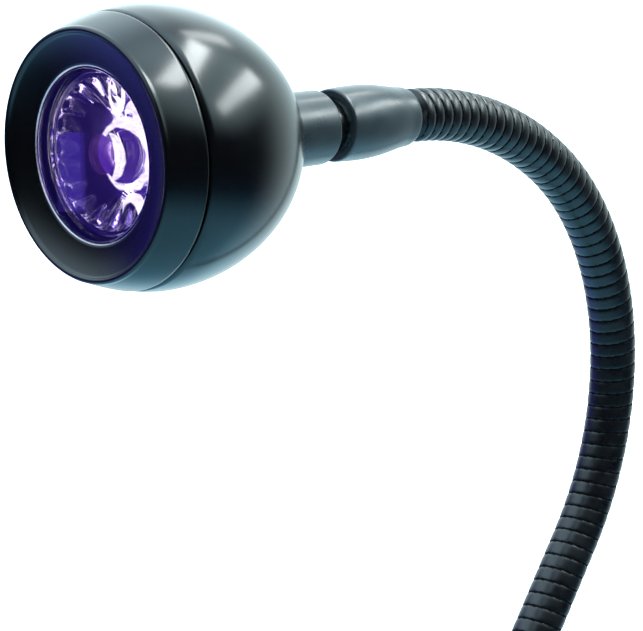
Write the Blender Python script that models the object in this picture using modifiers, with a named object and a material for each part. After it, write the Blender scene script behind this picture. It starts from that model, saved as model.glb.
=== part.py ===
"""Ultraviolet curing lamp: a ball-shaped lamp head on a bendable gooseneck, on a weighted round base.

Metres, +Z up. The origin is the centre of the base's underside. The gooseneck bends in the XZ plane,
and the lamp head looks along -X.
"""

import math

import bmesh
import bpy
from mathutils import Matrix, Vector

MM = 0.001
GAP = 0.3 * MM

# Base, as heights above the table and radii about Z.
BASE_RADIUS = 55 * MM
BASE_TOP = 20 * MM
BASE_SKIRT = 1 * MM
BASE_WALL = 2 * MM
BASE_ROOF = 2.5 * MM
BASE_EDGE = 6 * MM
PAD_RADIUS = 50 * MM
PAD_THICKNESS = 2 * MM
PLATE_THICKNESS = 1.5 * MM
BALLAST_RADIUS = 48.5 * MM
BALLAST_THICKNESS = 10 * MM
BALLAST_SLOT_WIDTH = 20 * MM
BALLAST_SLOT_START = -42 * MM
SCREW_CIRCLE = 40 * MM
BUTTON_X = -32 * MM
BUTTON_RADIUS = 6.7 * MM
BUTTON_HEIGHT = 2 * MM
SWITCH_SIDE = 11 * MM
INLET_HEIGHT = 11.5 * MM
INLET_SIZE = (7.4 * MM, 9.0 * MM, 3.3 * MM)

# Gooseneck, from the base up.
HOSE_RADIUS = 6 * MM
HOSE_BORE = 3.4 * MM
HOSE_SHOULDER = 5.4 * MM
HOSE_TENON = 4.2 * MM
HOSE_RUNS = (
    ("straight", 10 * MM, 0),
    ("bend", 70 * MM, -37.5),
    ("straight", 30 * MM, 0),
    ("bend", 72 * MM, 94.0),
    ("bend", 97 * MM, 33.5),
)
LINKS = 7
CABLE_RADIUS = 1.6 * MM
CABLE_UPPER_GAP = 1.2 * MM
CABLE_LOWER_GAP = HOSE_RADIUS + 0.5 * MM
CUP_GAP = 0.5 * MM

# Sleeve at each end of the gooseneck: a barrel whose small end faces the hose.
SLEEVE_LENGTH = 23 * MM
SLEEVE_RADIUS = 7.8 * MM
SLEEVE_SMALL_RADIUS = 6.65 * MM
SLEEVE_SHADOW_GAP = 3 * MM
NIPPLE_RADIUS = 4 * MM
NIPPLE_BORE = 2.6 * MM

# Lamp head, as depths behind the rim plane and radii about the head's axis.
RIM_RADIUS = 24 * MM
SEAM_DEPTH = 8.2 * MM
SEAM_RADIUS = 26.4 * MM
SEAM_WIDTH = 0.5 * MM
BEZEL_BULGE = 0.14 * MM
WIDEST_DEPTH = 16 * MM
WIDEST_RADIUS = 27.5 * MM
REAR_LENGTH = 33 * MM
HEAD_WALL = 2.3 * MM
SPIGOT_RADIUS = 23 * MM
SPIGOT_END = 13.3 * MM
LENS_DEPTH = 2.5 * MM
LENS_RADIUS = 16.3 * MM
OPTIC_DEPTH = 6.4 * MM
OPTIC_RADIUS = 15.5 * MM
OPTIC_BACK = 17.6 * MM
OPTIC_FLANGE = 1.6 * MM
OPTIC_DIMPLE_RADIUS = 3.8 * MM
OPTIC_DIMPLE_DEPTH = 0.6 * MM
CONE_RADIUS = 14.6 * MM
CONE_END_RADIUS = 6.0 * MM
POCKET_RADIUS = 5.5 * MM
POCKET_FLOOR = 11.4 * MM
POCKET_FLOOR_RADIUS = 4.4 * MM
POCKET_BULGE = 1.7 * MM
BOARD_DEPTH = 19 * MM
HEAT_SINK_DEPTH = 21.7 * MM
HEAT_SINK_BACK = 27.3 * MM
DRIVER_DEPTH = 33 * MM
DRIVER_RADIUS = 15 * MM
STUB_START = 47.7 * MM
STUB_END = 63 * MM
STUB_RADIUS = 7.9 * MM
STUB_SPIGOT = 5 * MM
STUB_SPIGOT_START = 40.5 * MM
STUB_SOCKET = 5.5 * MM
NECK_RING_RADIUS = 5.8 * MM
SLEEVE_START = 67.5 * MM
WIRE_CIRCLE = 17.2 * MM
BOARD_THICKNESS = 1.6 * MM
BOARD_SCREW_X = 11 * MM
DOME_RADIUS = 2.3 * MM

FULL_TURN = 2 * math.pi

parts = bpy.data.collections.new("uv_curing_lamp")
cutters = bpy.data.collections.new("cutters")


def clear_scene():
    for obj in list(bpy.data.objects):
        bpy.data.objects.remove(obj, do_unlink=True)
    for collection in (parts, cutters):
        bpy.context.scene.collection.children.link(collection)


def finish(name, colour, roughness, metallic=0.0, alpha=1.0):
    """A plain Principled material, made once for each name."""
    material = bpy.data.materials.get(name)
    if material:
        return material
    material = bpy.data.materials.new(name)
    material.use_nodes = True
    shader = material.node_tree.nodes["Principled BSDF"]
    shader.inputs["Base Color"].default_value = (*colour, 1.0)
    shader.inputs["Roughness"].default_value = roughness
    shader.inputs["Metallic"].default_value = metallic
    shader.inputs["Alpha"].default_value = alpha
    return material


def black_anodised():
    return finish("black_anodised", (0.015, 0.018, 0.02), 0.22, 0.6)


def black_coated_steel():
    return finish("black_coated_steel", (0.02, 0.023, 0.026), 0.35, 0.3)


def bright_metal():
    return finish("bright_metal", (0.75, 0.76, 0.78), 0.2, 1.0)


def plain_aluminium():
    return finish("plain_aluminium", (0.8, 0.8, 0.8), 0.35, 1.0)


def ballast_iron():
    return finish("ballast_iron", (0.12, 0.12, 0.12), 0.6, 1.0)


def black_plastic():
    return finish("black_plastic", (0.02, 0.02, 0.022), 0.45)


def soft_rubber():
    return finish("soft_rubber", (0.03, 0.03, 0.03), 0.8)


def violet_glass():
    return finish("violet_glass", (0.35, 0.3, 0.8), 0.03, 0.0, 0.35)


def circuit_board():
    return finish("circuit_board", (0.03, 0.16, 0.08), 0.5)


def lit_silicone():
    return finish("lit_silicone", (0.5, 0.3, 0.9), 0.2)


def ceramic():
    return finish("ceramic", (0.85, 0.84, 0.8), 0.4)


def cable_jacket():
    return finish("cable_jacket", (0.05, 0.05, 0.055), 0.5)


def wire_jacket(name, colour):
    return finish(name, colour, 0.45)


def add_mesh(name, mesh, material=None, place=Matrix()):
    """The mesh as an object: a part with its material or, with none, a hidden cutter."""
    obj = bpy.data.objects.new(name, mesh)
    obj.matrix_world = place
    if material:
        mesh.materials.append(material)
        parts.objects.link(obj)
        return obj
    cutters.objects.link(obj)
    obj.hide_render = True
    obj.display_type = "WIRE"
    return obj


def smooth(mesh):
    mesh.shade_smooth()
    mesh.set_sharp_from_angle(angle=math.radians(35))


def turned(name, outline, material=None, place=Matrix(), steps=40):
    """A solid of revolution about local Z from (radius, height) points round its section."""
    area = sum(
        r1 * z2 - r2 * z1
        for (r1, z1), (r2, z2) in zip(outline, outline[1:] + outline[:1])
    )
    if area > 0:
        outline = outline[::-1]
    on_axis = [index for index, (radius, _) in enumerate(outline) if radius == 0]
    form = bmesh.new()
    verts = [form.verts.new((radius, 0, height)) for radius, height in outline]
    for index in range(len(verts)):
        following = (index + 1) % len(verts)
        if index in on_axis and following in on_axis:
            continue
        form.edges.new((verts[index], verts[following]))
    mesh = bpy.data.meshes.new(name)
    form.to_mesh(mesh)
    form.free()
    obj = add_mesh(name, mesh, material, place)
    screw = obj.modifiers.new("turn", "SCREW")
    screw.axis = "Z"
    screw.steps = screw.render_steps = steps
    screw.use_merge_vertices = True
    screw.merge_threshold = 0.00001
    screw.use_smooth_shade = True
    return obj


def tube_section(outer, inner, low, high):
    return [(outer, low), (outer, high), (inner, high), (inner, low)]


def solid_section(radius, low, high, edge=0.0):
    """Half the section of a disc or rod, with an optional bevel at both ends."""
    if not edge:
        return [(0, low), (radius, low), (radius, high), (0, high)]
    return [
        (0, low),
        (radius - edge, low),
        (radius, low + edge),
        (radius, high - edge),
        (radius - edge, high),
        (0, high),
    ]


def block(name, size, centre, material=None, place=Matrix()):
    """A box of this size about this centre."""
    mesh = bpy.data.meshes.new(name)
    form = bmesh.new()
    bmesh.ops.create_cube(form, size=1.0)
    bmesh.ops.scale(form, vec=size, verts=form.verts)
    bmesh.ops.translate(form, vec=centre, verts=form.verts)
    form.to_mesh(mesh)
    form.free()
    return add_mesh(name, mesh, material, place)


def rod(name, radius, low, high, centre=(0, 0), material=None, place=Matrix(), sides=20):
    """A round or many-sided rod parallel to local Z."""
    mesh = bpy.data.meshes.new(name)
    form = bmesh.new()
    middle = Matrix.Translation((centre[0], centre[1], (low + high) / 2))
    bmesh.ops.create_cone(
        form, cap_ends=True, segments=sides, radius1=radius, radius2=radius, depth=high - low, matrix=middle
    )
    form.to_mesh(mesh)
    form.free()
    smooth(mesh)
    return add_mesh(name, mesh, material, place)


def ball(name, radius, centre):
    """A ball used only as a cutter."""
    mesh = bpy.data.meshes.new(name)
    form = bmesh.new()
    bmesh.ops.create_uvsphere(form, u_segments=16, v_segments=10, radius=radius)
    bmesh.ops.translate(form, vec=centre, verts=form.verts)
    form.to_mesh(mesh)
    form.free()
    return add_mesh(name, mesh)


def tube(name, points, radii, material=None, place=Matrix(), fineness=5):
    """A round bar through these points, with a radius at each, turned into a closed mesh."""
    curve = bpy.data.curves.new(name, "CURVE")
    curve.dimensions = "3D"
    curve.bevel_depth = 1.0
    curve.bevel_resolution = fineness
    curve.use_fill_caps = True
    spline = curve.splines.new("POLY")
    spline.points.add(len(points) - 1)
    for control, point, radius in zip(spline.points, points, radii):
        control.co = (*point, 1.0)
        control.radius = radius
    wire = bpy.data.objects.new(name + "_path", curve)
    cutters.objects.link(wire)
    mesh = bpy.data.meshes.new_from_object(wire.evaluated_get(bpy.context.evaluated_depsgraph_get()))
    bpy.data.objects.remove(wire, do_unlink=True)
    form = bmesh.new()
    form.from_mesh(mesh)
    bmesh.ops.remove_doubles(form, verts=form.verts, dist=0.000001)
    bmesh.ops.recalc_face_normals(form, faces=form.faces)
    form.to_mesh(mesh)
    form.free()
    mesh.materials.clear()
    smooth(mesh)
    return add_mesh(name, mesh, material, place)


def combine(target, other, operation):
    """Adds or takes away another object's shape."""
    boolean = target.modifiers.new(other.name, "BOOLEAN")
    boolean.operation = operation
    boolean.object = other


def cut(target, cutter):
    combine(target, cutter, "DIFFERENCE")


def pivot_empty(name, place):
    empty = bpy.data.objects.new(name, None)
    empty.empty_display_size = HOSE_RADIUS
    empty.matrix_world = place
    parts.objects.link(empty)
    return empty


def hang(obj, parent):
    """Makes obj, and the shapes that cut it, follow parent without moving them now."""
    bpy.context.view_layer.update()
    world = obj.matrix_world.copy()
    obj.parent = parent
    obj.matrix_parent_inverse = parent.matrix_world.inverted()
    obj.matrix_basis = world
    for modifier in obj.modifiers:
        if modifier.type == "BOOLEAN":
            hang(modifier.object, parent)


# ---------------------------------------------------------------- gooseneck


def run_length(kind, size, turn):
    return size if kind == "straight" else size * abs(math.radians(turn))


HOSE_LENGTH = sum(run_length(*run) for run in HOSE_RUNS)
HOSE_START = BASE_TOP + GAP + SLEEVE_LENGTH + SLEEVE_SHADOW_GAP


def along_hose(distance):
    """Point on the gooseneck's centreline this far above its base end, and its unit direction there."""
    x, z, heading = 0.0, HOSE_START, math.pi / 2
    if distance < 0:
        z += distance
    left = max(distance, 0.0)
    for kind, size, turn in HOSE_RUNS:
        length = run_length(kind, size, turn)
        share = min(left, length) / length
        if kind == "straight":
            x += share * length * math.cos(heading)
            z += share * length * math.sin(heading)
        else:
            angle = math.radians(turn) * share
            radius = math.copysign(size, turn)
            x += radius * (math.sin(heading + angle) - math.sin(heading))
            z -= radius * (math.cos(heading + angle) - math.cos(heading))
            heading += angle
        left -= share * length
    direction = Vector((math.cos(heading), 0, math.sin(heading)))
    return Vector((x, 0, z)) + direction * max(left, 0.0), direction


def hose_points(start, end, spacing):
    count = max(2, round((end - start) / spacing) + 1)
    return [along_hose(start + (end - start) * index / (count - 1))[0] for index in range(count)]


def joint_distance(index):
    return HOSE_LENGTH * index / LINKS


HEAD_RIM_TO_HOSE = SLEEVE_START + SLEEVE_LENGTH + SLEEVE_SHADOW_GAP


def head_place():
    """Frame of the lamp head: origin at the rim's centre, local Z pointing backwards."""
    neck_end, direction = along_hose(HOSE_LENGTH)
    rim_centre = neck_end + direction * HEAD_RIM_TO_HOSE
    return Matrix.Translation(rim_centre) @ Matrix.Rotation(math.radians(90), 4, "Y")


def tenon(end_distance, outwards):
    """Points and radii of the stepped end of the hose that sits inside a sleeve."""
    reach = SLEEVE_SHADOW_GAP + 14 * MM
    step = 0.02 * MM
    shoulder = SLEEVE_SHADOW_GAP - GAP
    places = [
        (reach, HOSE_TENON),
        (shoulder + step, HOSE_TENON),
        (shoulder, HOSE_SHOULDER),
        (step, HOSE_SHOULDER),
    ]
    return [(along_hose(end_distance + outwards * far)[0], radius) for far, radius in places]


def ball_end(distance):
    """Points and radii that round off a link past its upper pivot."""
    pivot, direction = along_hose(distance)
    made = []
    for turn in (20, 40, 60):
        angle = math.radians(turn)
        made.append((pivot + direction * HOSE_RADIUS * math.sin(angle), HOSE_RADIUS * math.cos(angle)))
    return made


def hose_link(number):
    """One length of the gooseneck: ball at its upper pivot, cup at its lower one, bored through."""
    first, last = number == 1, number == LINKS
    start, end = joint_distance(number - 1), joint_distance(number)
    body = [(point, HOSE_RADIUS) for point in hose_points(start, end, 7.5 * MM)]
    bore_start, bore_end = start - GAP, end + HOSE_RADIUS + GAP
    if first:
        body = tenon(0.0, -1) + body
        bore_start = -SLEEVE_SHADOW_GAP - SLEEVE_LENGTH
    if last:
        body = body + tenon(HOSE_LENGTH, 1)[::-1]
        bore_end = HOSE_LENGTH + SLEEVE_SHADOW_GAP + SLEEVE_LENGTH
    else:
        body = body + ball_end(end)
    link = tube(f"gooseneck_link_{number}", *zip(*body), black_coated_steel(), fineness=5)
    if not first:
        cut(link, ball(f"link_{number}_cup", HOSE_RADIUS + CUP_GAP, along_hose(start)[0]))
    bore = hose_points(bore_start, bore_end, 9 * MM)
    cut(link, tube(f"link_{number}_bore", bore, [HOSE_BORE] * len(bore), fineness=3))
    return link


def hose_cable(number):
    """The length of power cable inside one link, which stops short of the bores of its neighbours."""
    start = joint_distance(number - 1) + CABLE_LOWER_GAP
    end = joint_distance(number) - CABLE_UPPER_GAP
    if number == 1:
        return base_cable(end)
    if number == LINKS:
        end = HOSE_LENGTH + HEAD_RIM_TO_HOSE - DRIVER_DEPTH - 2.2 * MM
    points = hose_points(start, end, 9 * MM)
    return tube(f"cable_{number}", points, [CABLE_RADIUS] * len(points), cable_jacket(), fineness=2)


def base_cable(end):
    """The cable's lowest length, from the switch through the ballast slot and up the gooseneck."""
    slot_height = 9 * MM
    bend = 3.5 * MM
    switch_face = BUTTON_X + SWITCH_SIDE / 2 + GAP
    points = [Vector((switch_face, 0, slot_height)), Vector((-bend - 1 * MM, 0, slot_height))]
    for turn in range(1, 6):
        angle = math.radians(90) * turn / 5
        points.append(Vector((bend * (math.sin(angle) - 1), 0, slot_height + bend * (1 - math.cos(angle)))))
    points += hose_points(-HOSE_START + slot_height + 2 * bend, end, 12 * MM)
    return tube("cable_1", points, [CABLE_RADIUS] * len(points), cable_jacket(), fineness=2)


# ---------------------------------------------------------------- neck


def sleeve(name, place):
    """Barrel-shaped sleeve from local Z = 0: nipple socket at its big end, hose socket at its small one."""
    rows = 5
    outside = []
    for row in range(rows + 1):
        share = row / rows
        swell = 0.5 * MM * math.sin(math.pi * min(1.0, share * 1.15))
        radius = SLEEVE_RADIUS + (SLEEVE_SMALL_RADIUS - SLEEVE_RADIUS) * share**1.8 + swell
        outside.append((radius, SLEEVE_LENGTH * share))
    outside[0] = (SLEEVE_RADIUS, 0.4 * MM)
    inside = [
        (HOSE_TENON + GAP, SLEEVE_LENGTH),
        (HOSE_TENON + GAP, 7.5 * MM),
        (NIPPLE_RADIUS - 0.8 * MM, 7.0 * MM),
        (NIPPLE_RADIUS - 0.8 * MM, 6.0 * MM),
        (NIPPLE_RADIUS + GAP, 6.0 * MM),
        (NIPPLE_RADIUS + GAP, 0),
        (SLEEVE_RADIUS - 0.4 * MM, 0),
    ]
    return turned(name, outside + inside, black_anodised(), place, 24)


def neck(place):
    """Stub on the back of the head, threaded nipple, dark swivel ring and upper sleeve."""
    edge = 0.4 * MM
    socket_end = STUB_END - STUB_SOCKET
    sleeve_socket = SLEEVE_START + 6.0 * MM - GAP
    stub = [
        (STUB_SPIGOT, STUB_SPIGOT_START),
        (STUB_SPIGOT, STUB_START),
        (STUB_RADIUS - edge, STUB_START),
        (STUB_RADIUS, STUB_START + edge),
        (STUB_RADIUS, STUB_END - edge),
        (STUB_RADIUS - edge, STUB_END),
        (NIPPLE_RADIUS + GAP, STUB_END),
        (NIPPLE_RADIUS + GAP, socket_end),
        (NIPPLE_BORE, socket_end),
        (NIPPLE_BORE, STUB_SPIGOT_START),
    ]
    nipple = tube_section(NIPPLE_RADIUS, NIPPLE_BORE, socket_end + GAP, sleeve_socket)
    ring = tube_section(NECK_RING_RADIUS, NIPPLE_RADIUS + GAP, STUB_END + GAP, SLEEVE_START - GAP)
    nut_faces = (41.3 * MM, 44.1 * MM)
    lock_nut = rod("neck_lock_nut", 8 * MM, *nut_faces, material=bright_metal(), place=place, sides=6)
    cut(lock_nut, rod("lock_nut_hole", STUB_SPIGOT + GAP, 40 * MM, 46 * MM, place=place))
    return [
        turned("neck_stub", stub, black_anodised(), place, 24),
        turned("neck_nipple", nipple, bright_metal(), place, 20),
        turned("neck_ring", ring, black_plastic(), place, 24),
        sleeve("neck_sleeve", place @ Matrix.Translation((0, 0, SLEEVE_START))),
        lock_nut,
    ]


# ---------------------------------------------------------------- lamp head


def bezel_outline():
    """Section of the front ring: rounded lip, bulged band, threaded spigot, lens seat and dished face."""
    back = SEAM_DEPTH - SEAM_WIDTH / 2
    lip = 0.65 * MM
    outside = [
        (
            RIM_RADIUS - lip + lip * math.sin(math.radians(turn)),
            lip - lip * math.cos(math.radians(turn)),
        )
        for turn in (-60, -20, 20, 60, 90)
    ]
    for share in (0.33, 0.67, 1.0):
        straight = RIM_RADIUS + (SEAM_RADIUS - RIM_RADIUS) * share
        outside.append((straight + BEZEL_BULGE * 4 * share * (1 - share), lip + (back - lip) * share))
    gasket_step = back - 0.8 * MM
    window_seat = LENS_DEPTH + 1.6 * MM
    inside = [
        (25.0 * MM, back),
        (25.0 * MM, gasket_step),
        (SPIGOT_RADIUS, gasket_step),
        (SPIGOT_RADIUS, SPIGOT_END),
        (20.6 * MM, SPIGOT_END),
        (20.6 * MM, back),
        (18.9 * MM, back),
        (18.9 * MM, window_seat),
        (LENS_RADIUS + 0.3 * MM, window_seat),
        (LENS_RADIUS + 0.3 * MM, LENS_DEPTH + 0.2 * MM),
    ]
    return outside + inside


def shell_outline():
    """Section of the rear bowl: half an ellipsoid outside, a straight bore and a rounded floor inside."""
    front = SEAM_DEPTH + SEAM_WIDTH / 2
    seat = STUB_START - GAP
    widest = WIDEST_DEPTH - front
    outside = []
    for share in (0.0, 0.5):
        ahead = widest * (1 - share)
        outside.append((math.sqrt(WIDEST_RADIUS**2 - ahead**2), front + widest * share))
    seat_angle = math.degrees(math.asin((seat - WIDEST_DEPTH) / REAR_LENGTH))
    for step in range(10):
        angle = math.radians(seat_angle * step / 9)
        outside.append((WIDEST_RADIUS * math.cos(angle), WIDEST_DEPTH + REAR_LENGTH * math.sin(angle)))
    bore = SPIGOT_RADIUS + GAP
    inner_radius = WIDEST_RADIUS - HEAD_WALL
    inner_length = REAR_LENGTH - HEAD_WALL
    hole = STUB_SPIGOT + GAP
    hole_angle = math.degrees(math.acos(hole / inner_radius))
    bore_angle = math.degrees(math.acos(bore / inner_radius))
    floor = []
    for step in range(6):
        angle = math.radians(hole_angle + (bore_angle - hole_angle) * step / 5)
        floor.append((inner_radius * math.cos(angle), WIDEST_DEPTH + inner_length * math.sin(angle)))
    return outside + [(hole, seat)] + floor + [(bore, front)]


def optic_outline():
    """Section of the collimator: dimpled front, flange, curved cone, and a bulging pocket at the emitter."""
    flange_back = OPTIC_DEPTH + OPTIC_FLANGE
    dimple_floor = OPTIC_DEPTH + OPTIC_DIMPLE_DEPTH
    front = [
        (0, dimple_floor),
        (OPTIC_DIMPLE_RADIUS - 0.2 * MM, dimple_floor),
        (OPTIC_DIMPLE_RADIUS, OPTIC_DEPTH),
        (OPTIC_RADIUS, OPTIC_DEPTH),
        (OPTIC_RADIUS, flange_back),
    ]
    cone = []
    for step in range(6):
        share = step / 5
        radius = CONE_END_RADIUS + (CONE_RADIUS - CONE_END_RADIUS) * (1 - share**1.6)
        cone.append((radius, flange_back + (OPTIC_BACK - flange_back) * share))
    pocket = [(POCKET_RADIUS, OPTIC_BACK)]
    for step in range(5):
        share = 1 - step / 4
        pocket.append((POCKET_FLOOR_RADIUS * share, POCKET_FLOOR + POCKET_BULGE * (1 - share**2)))
    return front + cone + pocket


def optics(place):
    """Window, retaining ring, gasket, collimator and the holder that centres it."""
    window_back = LENS_DEPTH + 3.1 * MM
    window = [
        (0, LENS_DEPTH),
        (LENS_RADIUS - 0.3 * MM, LENS_DEPTH),
        (LENS_RADIUS, LENS_DEPTH + 0.3 * MM),
        (LENS_RADIUS, LENS_DEPTH + 1.9 * MM),
        (18.5 * MM, LENS_DEPTH + 1.9 * MM),
        (18.5 * MM, window_back),
        (0, window_back),
    ]
    holder = [
        (15.2 * MM, 8.3 * MM),
        (17.9 * MM, 8.3 * MM),
        (17.9 * MM, 18.7 * MM),
        (16.9 * MM, 18.7 * MM),
        (16.9 * MM, 9.5 * MM),
        (15.2 * MM, 9.5 * MM),
    ]
    ring = tube_section(18.6 * MM, 16.0 * MM, window_back + GAP, 7.6 * MM)
    gasket_front = SEAM_DEPTH - SEAM_WIDTH / 2 - 0.5 * MM
    gasket = tube_section(24.7 * MM, SPIGOT_RADIUS + GAP, gasket_front, gasket_front + 0.7 * MM)
    return [
        turned("lens_window", window, violet_glass(), place, 36),
        turned("lens_retaining_ring", ring, black_anodised(), place, 32),
        turned("seam_gasket", gasket, soft_rubber(), place, 36),
        turned("collimator_lens", optic_outline(), violet_glass(), place, 28),
        turned("lens_holder", holder, black_plastic(), place, 28),
    ]


def emitter(place):
    """Light source: board with two wire notches, package, dome, heat pad and two screws."""
    board_back = BOARD_DEPTH + BOARD_THICKNESS
    faces = (BOARD_DEPTH, board_back)
    through = (BOARD_DEPTH - GAP, board_back + GAP)
    board = rod("led_board", 18 * MM, *faces, material=plain_aluminium(), place=place, sides=32)
    made = [board]
    for side in (-1, 1):
        cut(board, rod("notch", 1.5 * MM, *through, (0, side * WIRE_CIRCLE), place=place))
        screw_spot = (side * BOARD_SCREW_X, 0)
        cut(board, rod("board_hole", 1.4 * MM, *through, screw_spot, place=place))
        screw = turned(
            "board_screw_a" if side < 0 else "board_screw_b",
            [
                (0, 16.9 * MM),
                (1.7 * MM, 17.1 * MM),
                (2.2 * MM, 18.7 * MM),
                (1.1 * MM, 18.7 * MM),
                (1.1 * MM, 25.5 * MM),
                (0, 25.5 * MM),
            ],
            bright_metal(),
            place @ Matrix.Translation((*screw_spot, 0)),
            16,
        )
        made.append(screw)
    package_size = (5 * MM, 5 * MM, 0.8 * MM)
    package = block("led_package", package_size, (0, 0, BOARD_DEPTH - 0.7 * MM), ceramic(), place)
    dome_back = BOARD_DEPTH - 1.4 * MM
    dome = [(0, dome_back)]
    for step in range(5):
        angle = math.radians(90) * step / 5
        dome.append((DOME_RADIUS * math.cos(angle), dome_back - DOME_RADIUS * math.sin(angle)))
    dome.append((0, dome_back - DOME_RADIUS))
    pad_place = (board_back + GAP, HEAT_SINK_DEPTH - GAP)
    pad = rod("thermal_pad", 15 * MM, *pad_place, material=soft_rubber(), place=place, sides=32)
    for side in (-1, 1):
        through = (board_back - GAP, HEAT_SINK_DEPTH + GAP)
        cut(pad, rod("pad_hole", 1.6 * MM, *through, (side * BOARD_SCREW_X, 0), place=place))
    return made + [package, turned("led_dome", dome, lit_silicone(), place, 20), pad]


def heat_sink(place):
    """Aluminium slug pressed into the bowl, with two wire holes and two blind screw holes."""
    reach = SPIGOT_RADIUS - 0.1 * MM
    faces = (HEAT_SINK_DEPTH, HEAT_SINK_BACK)
    sink = rod("heat_sink", reach, *faces, material=plain_aluminium(), place=place, sides=40)
    for side in (-1, 1):
        through = (HEAT_SINK_DEPTH - GAP, HEAT_SINK_BACK + GAP)
        cut(sink, rod("sink_wire_hole", 1.2 * MM, *through, (0, side * WIRE_CIRCLE), place=place, sides=12))
        blind = (HEAT_SINK_DEPTH - GAP, 25.8 * MM)
        cut(sink, rod("sink_screw_hole", 1.4 * MM, *blind, (side * BOARD_SCREW_X, 0), place=place, sides=12))
    return sink


def driver(place):
    """Current driver: board on two pillars, coil, capacitor, chip, and two wires to the emitter."""
    board_back = DRIVER_DEPTH + BOARD_THICKNESS
    faces = (DRIVER_DEPTH, board_back)
    board = rod("driver_board", DRIVER_RADIUS, *faces, material=circuit_board(), place=place, sides=32)
    coil_section = tube_section(4 * MM, 1.4 * MM, board_back + GAP, board_back + 4 * MM)
    coil_place = place @ Matrix.Translation((7.5 * MM, 0, 0))
    coil = turned("driver_coil", coil_section, ballast_iron(), coil_place, 20)
    can = (board_back + GAP, board_back + 6 * MM)
    capacitor = rod("driver_capacitor", 2.5 * MM, *can, (-6.5 * MM, 3.5 * MM), black_plastic(), place)
    chip_centre = (-6.5 * MM, -5 * MM, board_back + 1 * MM)
    chip = block("driver_chip", (4 * MM, 5 * MM, 1.4 * MM), chip_centre, black_plastic(), place)
    return [board, coil, capacitor, chip, *driver_pillars(place), *driver_wires(place)]


def driver_pillars(place):
    """Two pillars that hold the driver board off the heat sink."""
    length = (HEAT_SINK_BACK + GAP, DRIVER_DEPTH - GAP)
    spots = (("driver_pillar_a", -BOARD_SCREW_X), ("driver_pillar_b", BOARD_SCREW_X))
    return [rod(name, 2 * MM, *length, (across, 0), bright_metal(), place, 12) for name, across in spots]


def driver_wires(place):
    """Red and black wire from the driver through the heat sink to the emitter board's notches."""
    wires = (("led_wire_red", -1, (0.6, 0.03, 0.02)), ("led_wire_black", 1, (0.02, 0.02, 0.02)))
    made = []
    for name, side, colour in wires:
        route = [
            Vector((0, side * 12.5 * MM, DRIVER_DEPTH - GAP)),
            Vector((0, side * 12.7 * MM, 31.2 * MM)),
            Vector((0, side * (WIRE_CIRCLE - 0.5 * MM), 29 * MM)),
            Vector((0, side * WIRE_CIRCLE, HEAT_SINK_BACK)),
            Vector((0, side * WIRE_CIRCLE, BOARD_DEPTH + 0.4 * MM)),
        ]
        made.append(tube(name, route, [0.6 * MM] * len(route), wire_jacket(name, colour), place, 2))
    return made


def lamp_head(place):
    return [
        turned("bezel_ring", bezel_outline(), black_anodised(), place, 36),
        turned("head_shell", shell_outline(), black_anodised(), place, 36),
        *optics(place),
        *emitter(place),
        heat_sink(place),
        *driver(place),
        *neck(place),
    ]


# ---------------------------------------------------------------- base


def ring_spots():
    """Centres of the four base screws."""
    return [
        (SCREW_CIRCLE * math.cos(angle), SCREW_CIRCLE * math.sin(angle))
        for angle in (FULL_TURN / 8 + FULL_TURN / 4 * index for index in range(4))
    ]


def base_shell():
    """Round cover: straight skirt, rounded shoulder, flat top with holes, screw posts inside."""
    low, shoulder = BASE_SKIRT, BASE_TOP - BASE_EDGE
    outer = [(BASE_RADIUS, low), (BASE_RADIUS, shoulder)]
    inner_radius = BASE_RADIUS - BASE_WALL
    ceiling = BASE_TOP - BASE_ROOF
    inner = [(0, ceiling)]
    for step in range(1, 5):
        angle = math.radians(90) * step / 4
        reach = BASE_RADIUS - BASE_EDGE + BASE_EDGE * math.cos(angle)
        outer.append((reach, shoulder + BASE_EDGE * math.sin(angle)))
    bend = BASE_EDGE - BASE_WALL
    for step in range(4):
        angle = math.radians(90) * step / 3
        reach = BASE_RADIUS - BASE_EDGE + bend * math.sin(angle)
        inner.append((reach, ceiling - bend * (1 - math.cos(angle))))
    outline = outer + [(0, BASE_TOP)] + inner + [(inner_radius, low)]
    shell = turned("base_shell", outline, black_coated_steel(), steps=44)
    post_low = PAD_THICKNESS + PLATE_THICKNESS + BALLAST_THICKNESS + 3 * GAP
    for index, spot in enumerate(ring_spots()):
        combine(shell, rod(f"post_{index}", 3.2 * MM, post_low, ceiling + 1 * MM, spot, sides=12), "UNION")
    for index, spot in enumerate(ring_spots()):
        cut(shell, rod(f"post_hole_{index}", 1.8 * MM, post_low - 1 * MM, ceiling, spot, sides=8))
    through = (ceiling - 1 * MM, BASE_TOP + 1 * MM)
    cut(shell, rod("nipple_hole", NIPPLE_RADIUS + GAP, *through, sides=24))
    cut(shell, rod("button_hole", BUTTON_RADIUS + GAP, *through, (BUTTON_X, 0), sides=24))
    opening = (4 * BASE_WALL, INLET_SIZE[1] + 2 * GAP, INLET_SIZE[2] + 2 * GAP)
    cut(shell, block("inlet_window", opening, (BASE_RADIUS, 0, INLET_HEIGHT)))
    return shell


def base_ballast():
    """Heavy disc with a slot from the switch, past the gooseneck's nut, to the power inlet."""
    low = PAD_THICKNESS + PLATE_THICKNESS + 2 * GAP
    high = low + BALLAST_THICKNESS
    outline = solid_section(BALLAST_RADIUS, low, high, 0.8 * MM)
    ballast = turned("ballast_disc", outline, ballast_iron(), steps=40)
    reach = BASE_RADIUS - BALLAST_SLOT_START
    slot_size = (reach, BALLAST_SLOT_WIDTH, 2 * high)
    cut(ballast, block("ballast_slot", slot_size, (BALLAST_SLOT_START + reach / 2, 0, high)))
    for index, spot in enumerate(ring_spots()):
        cut(ballast, rod(f"ballast_hole_{index}", 1.8 * MM, low - GAP, high + GAP, spot, sides=8))
    return ballast


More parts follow.
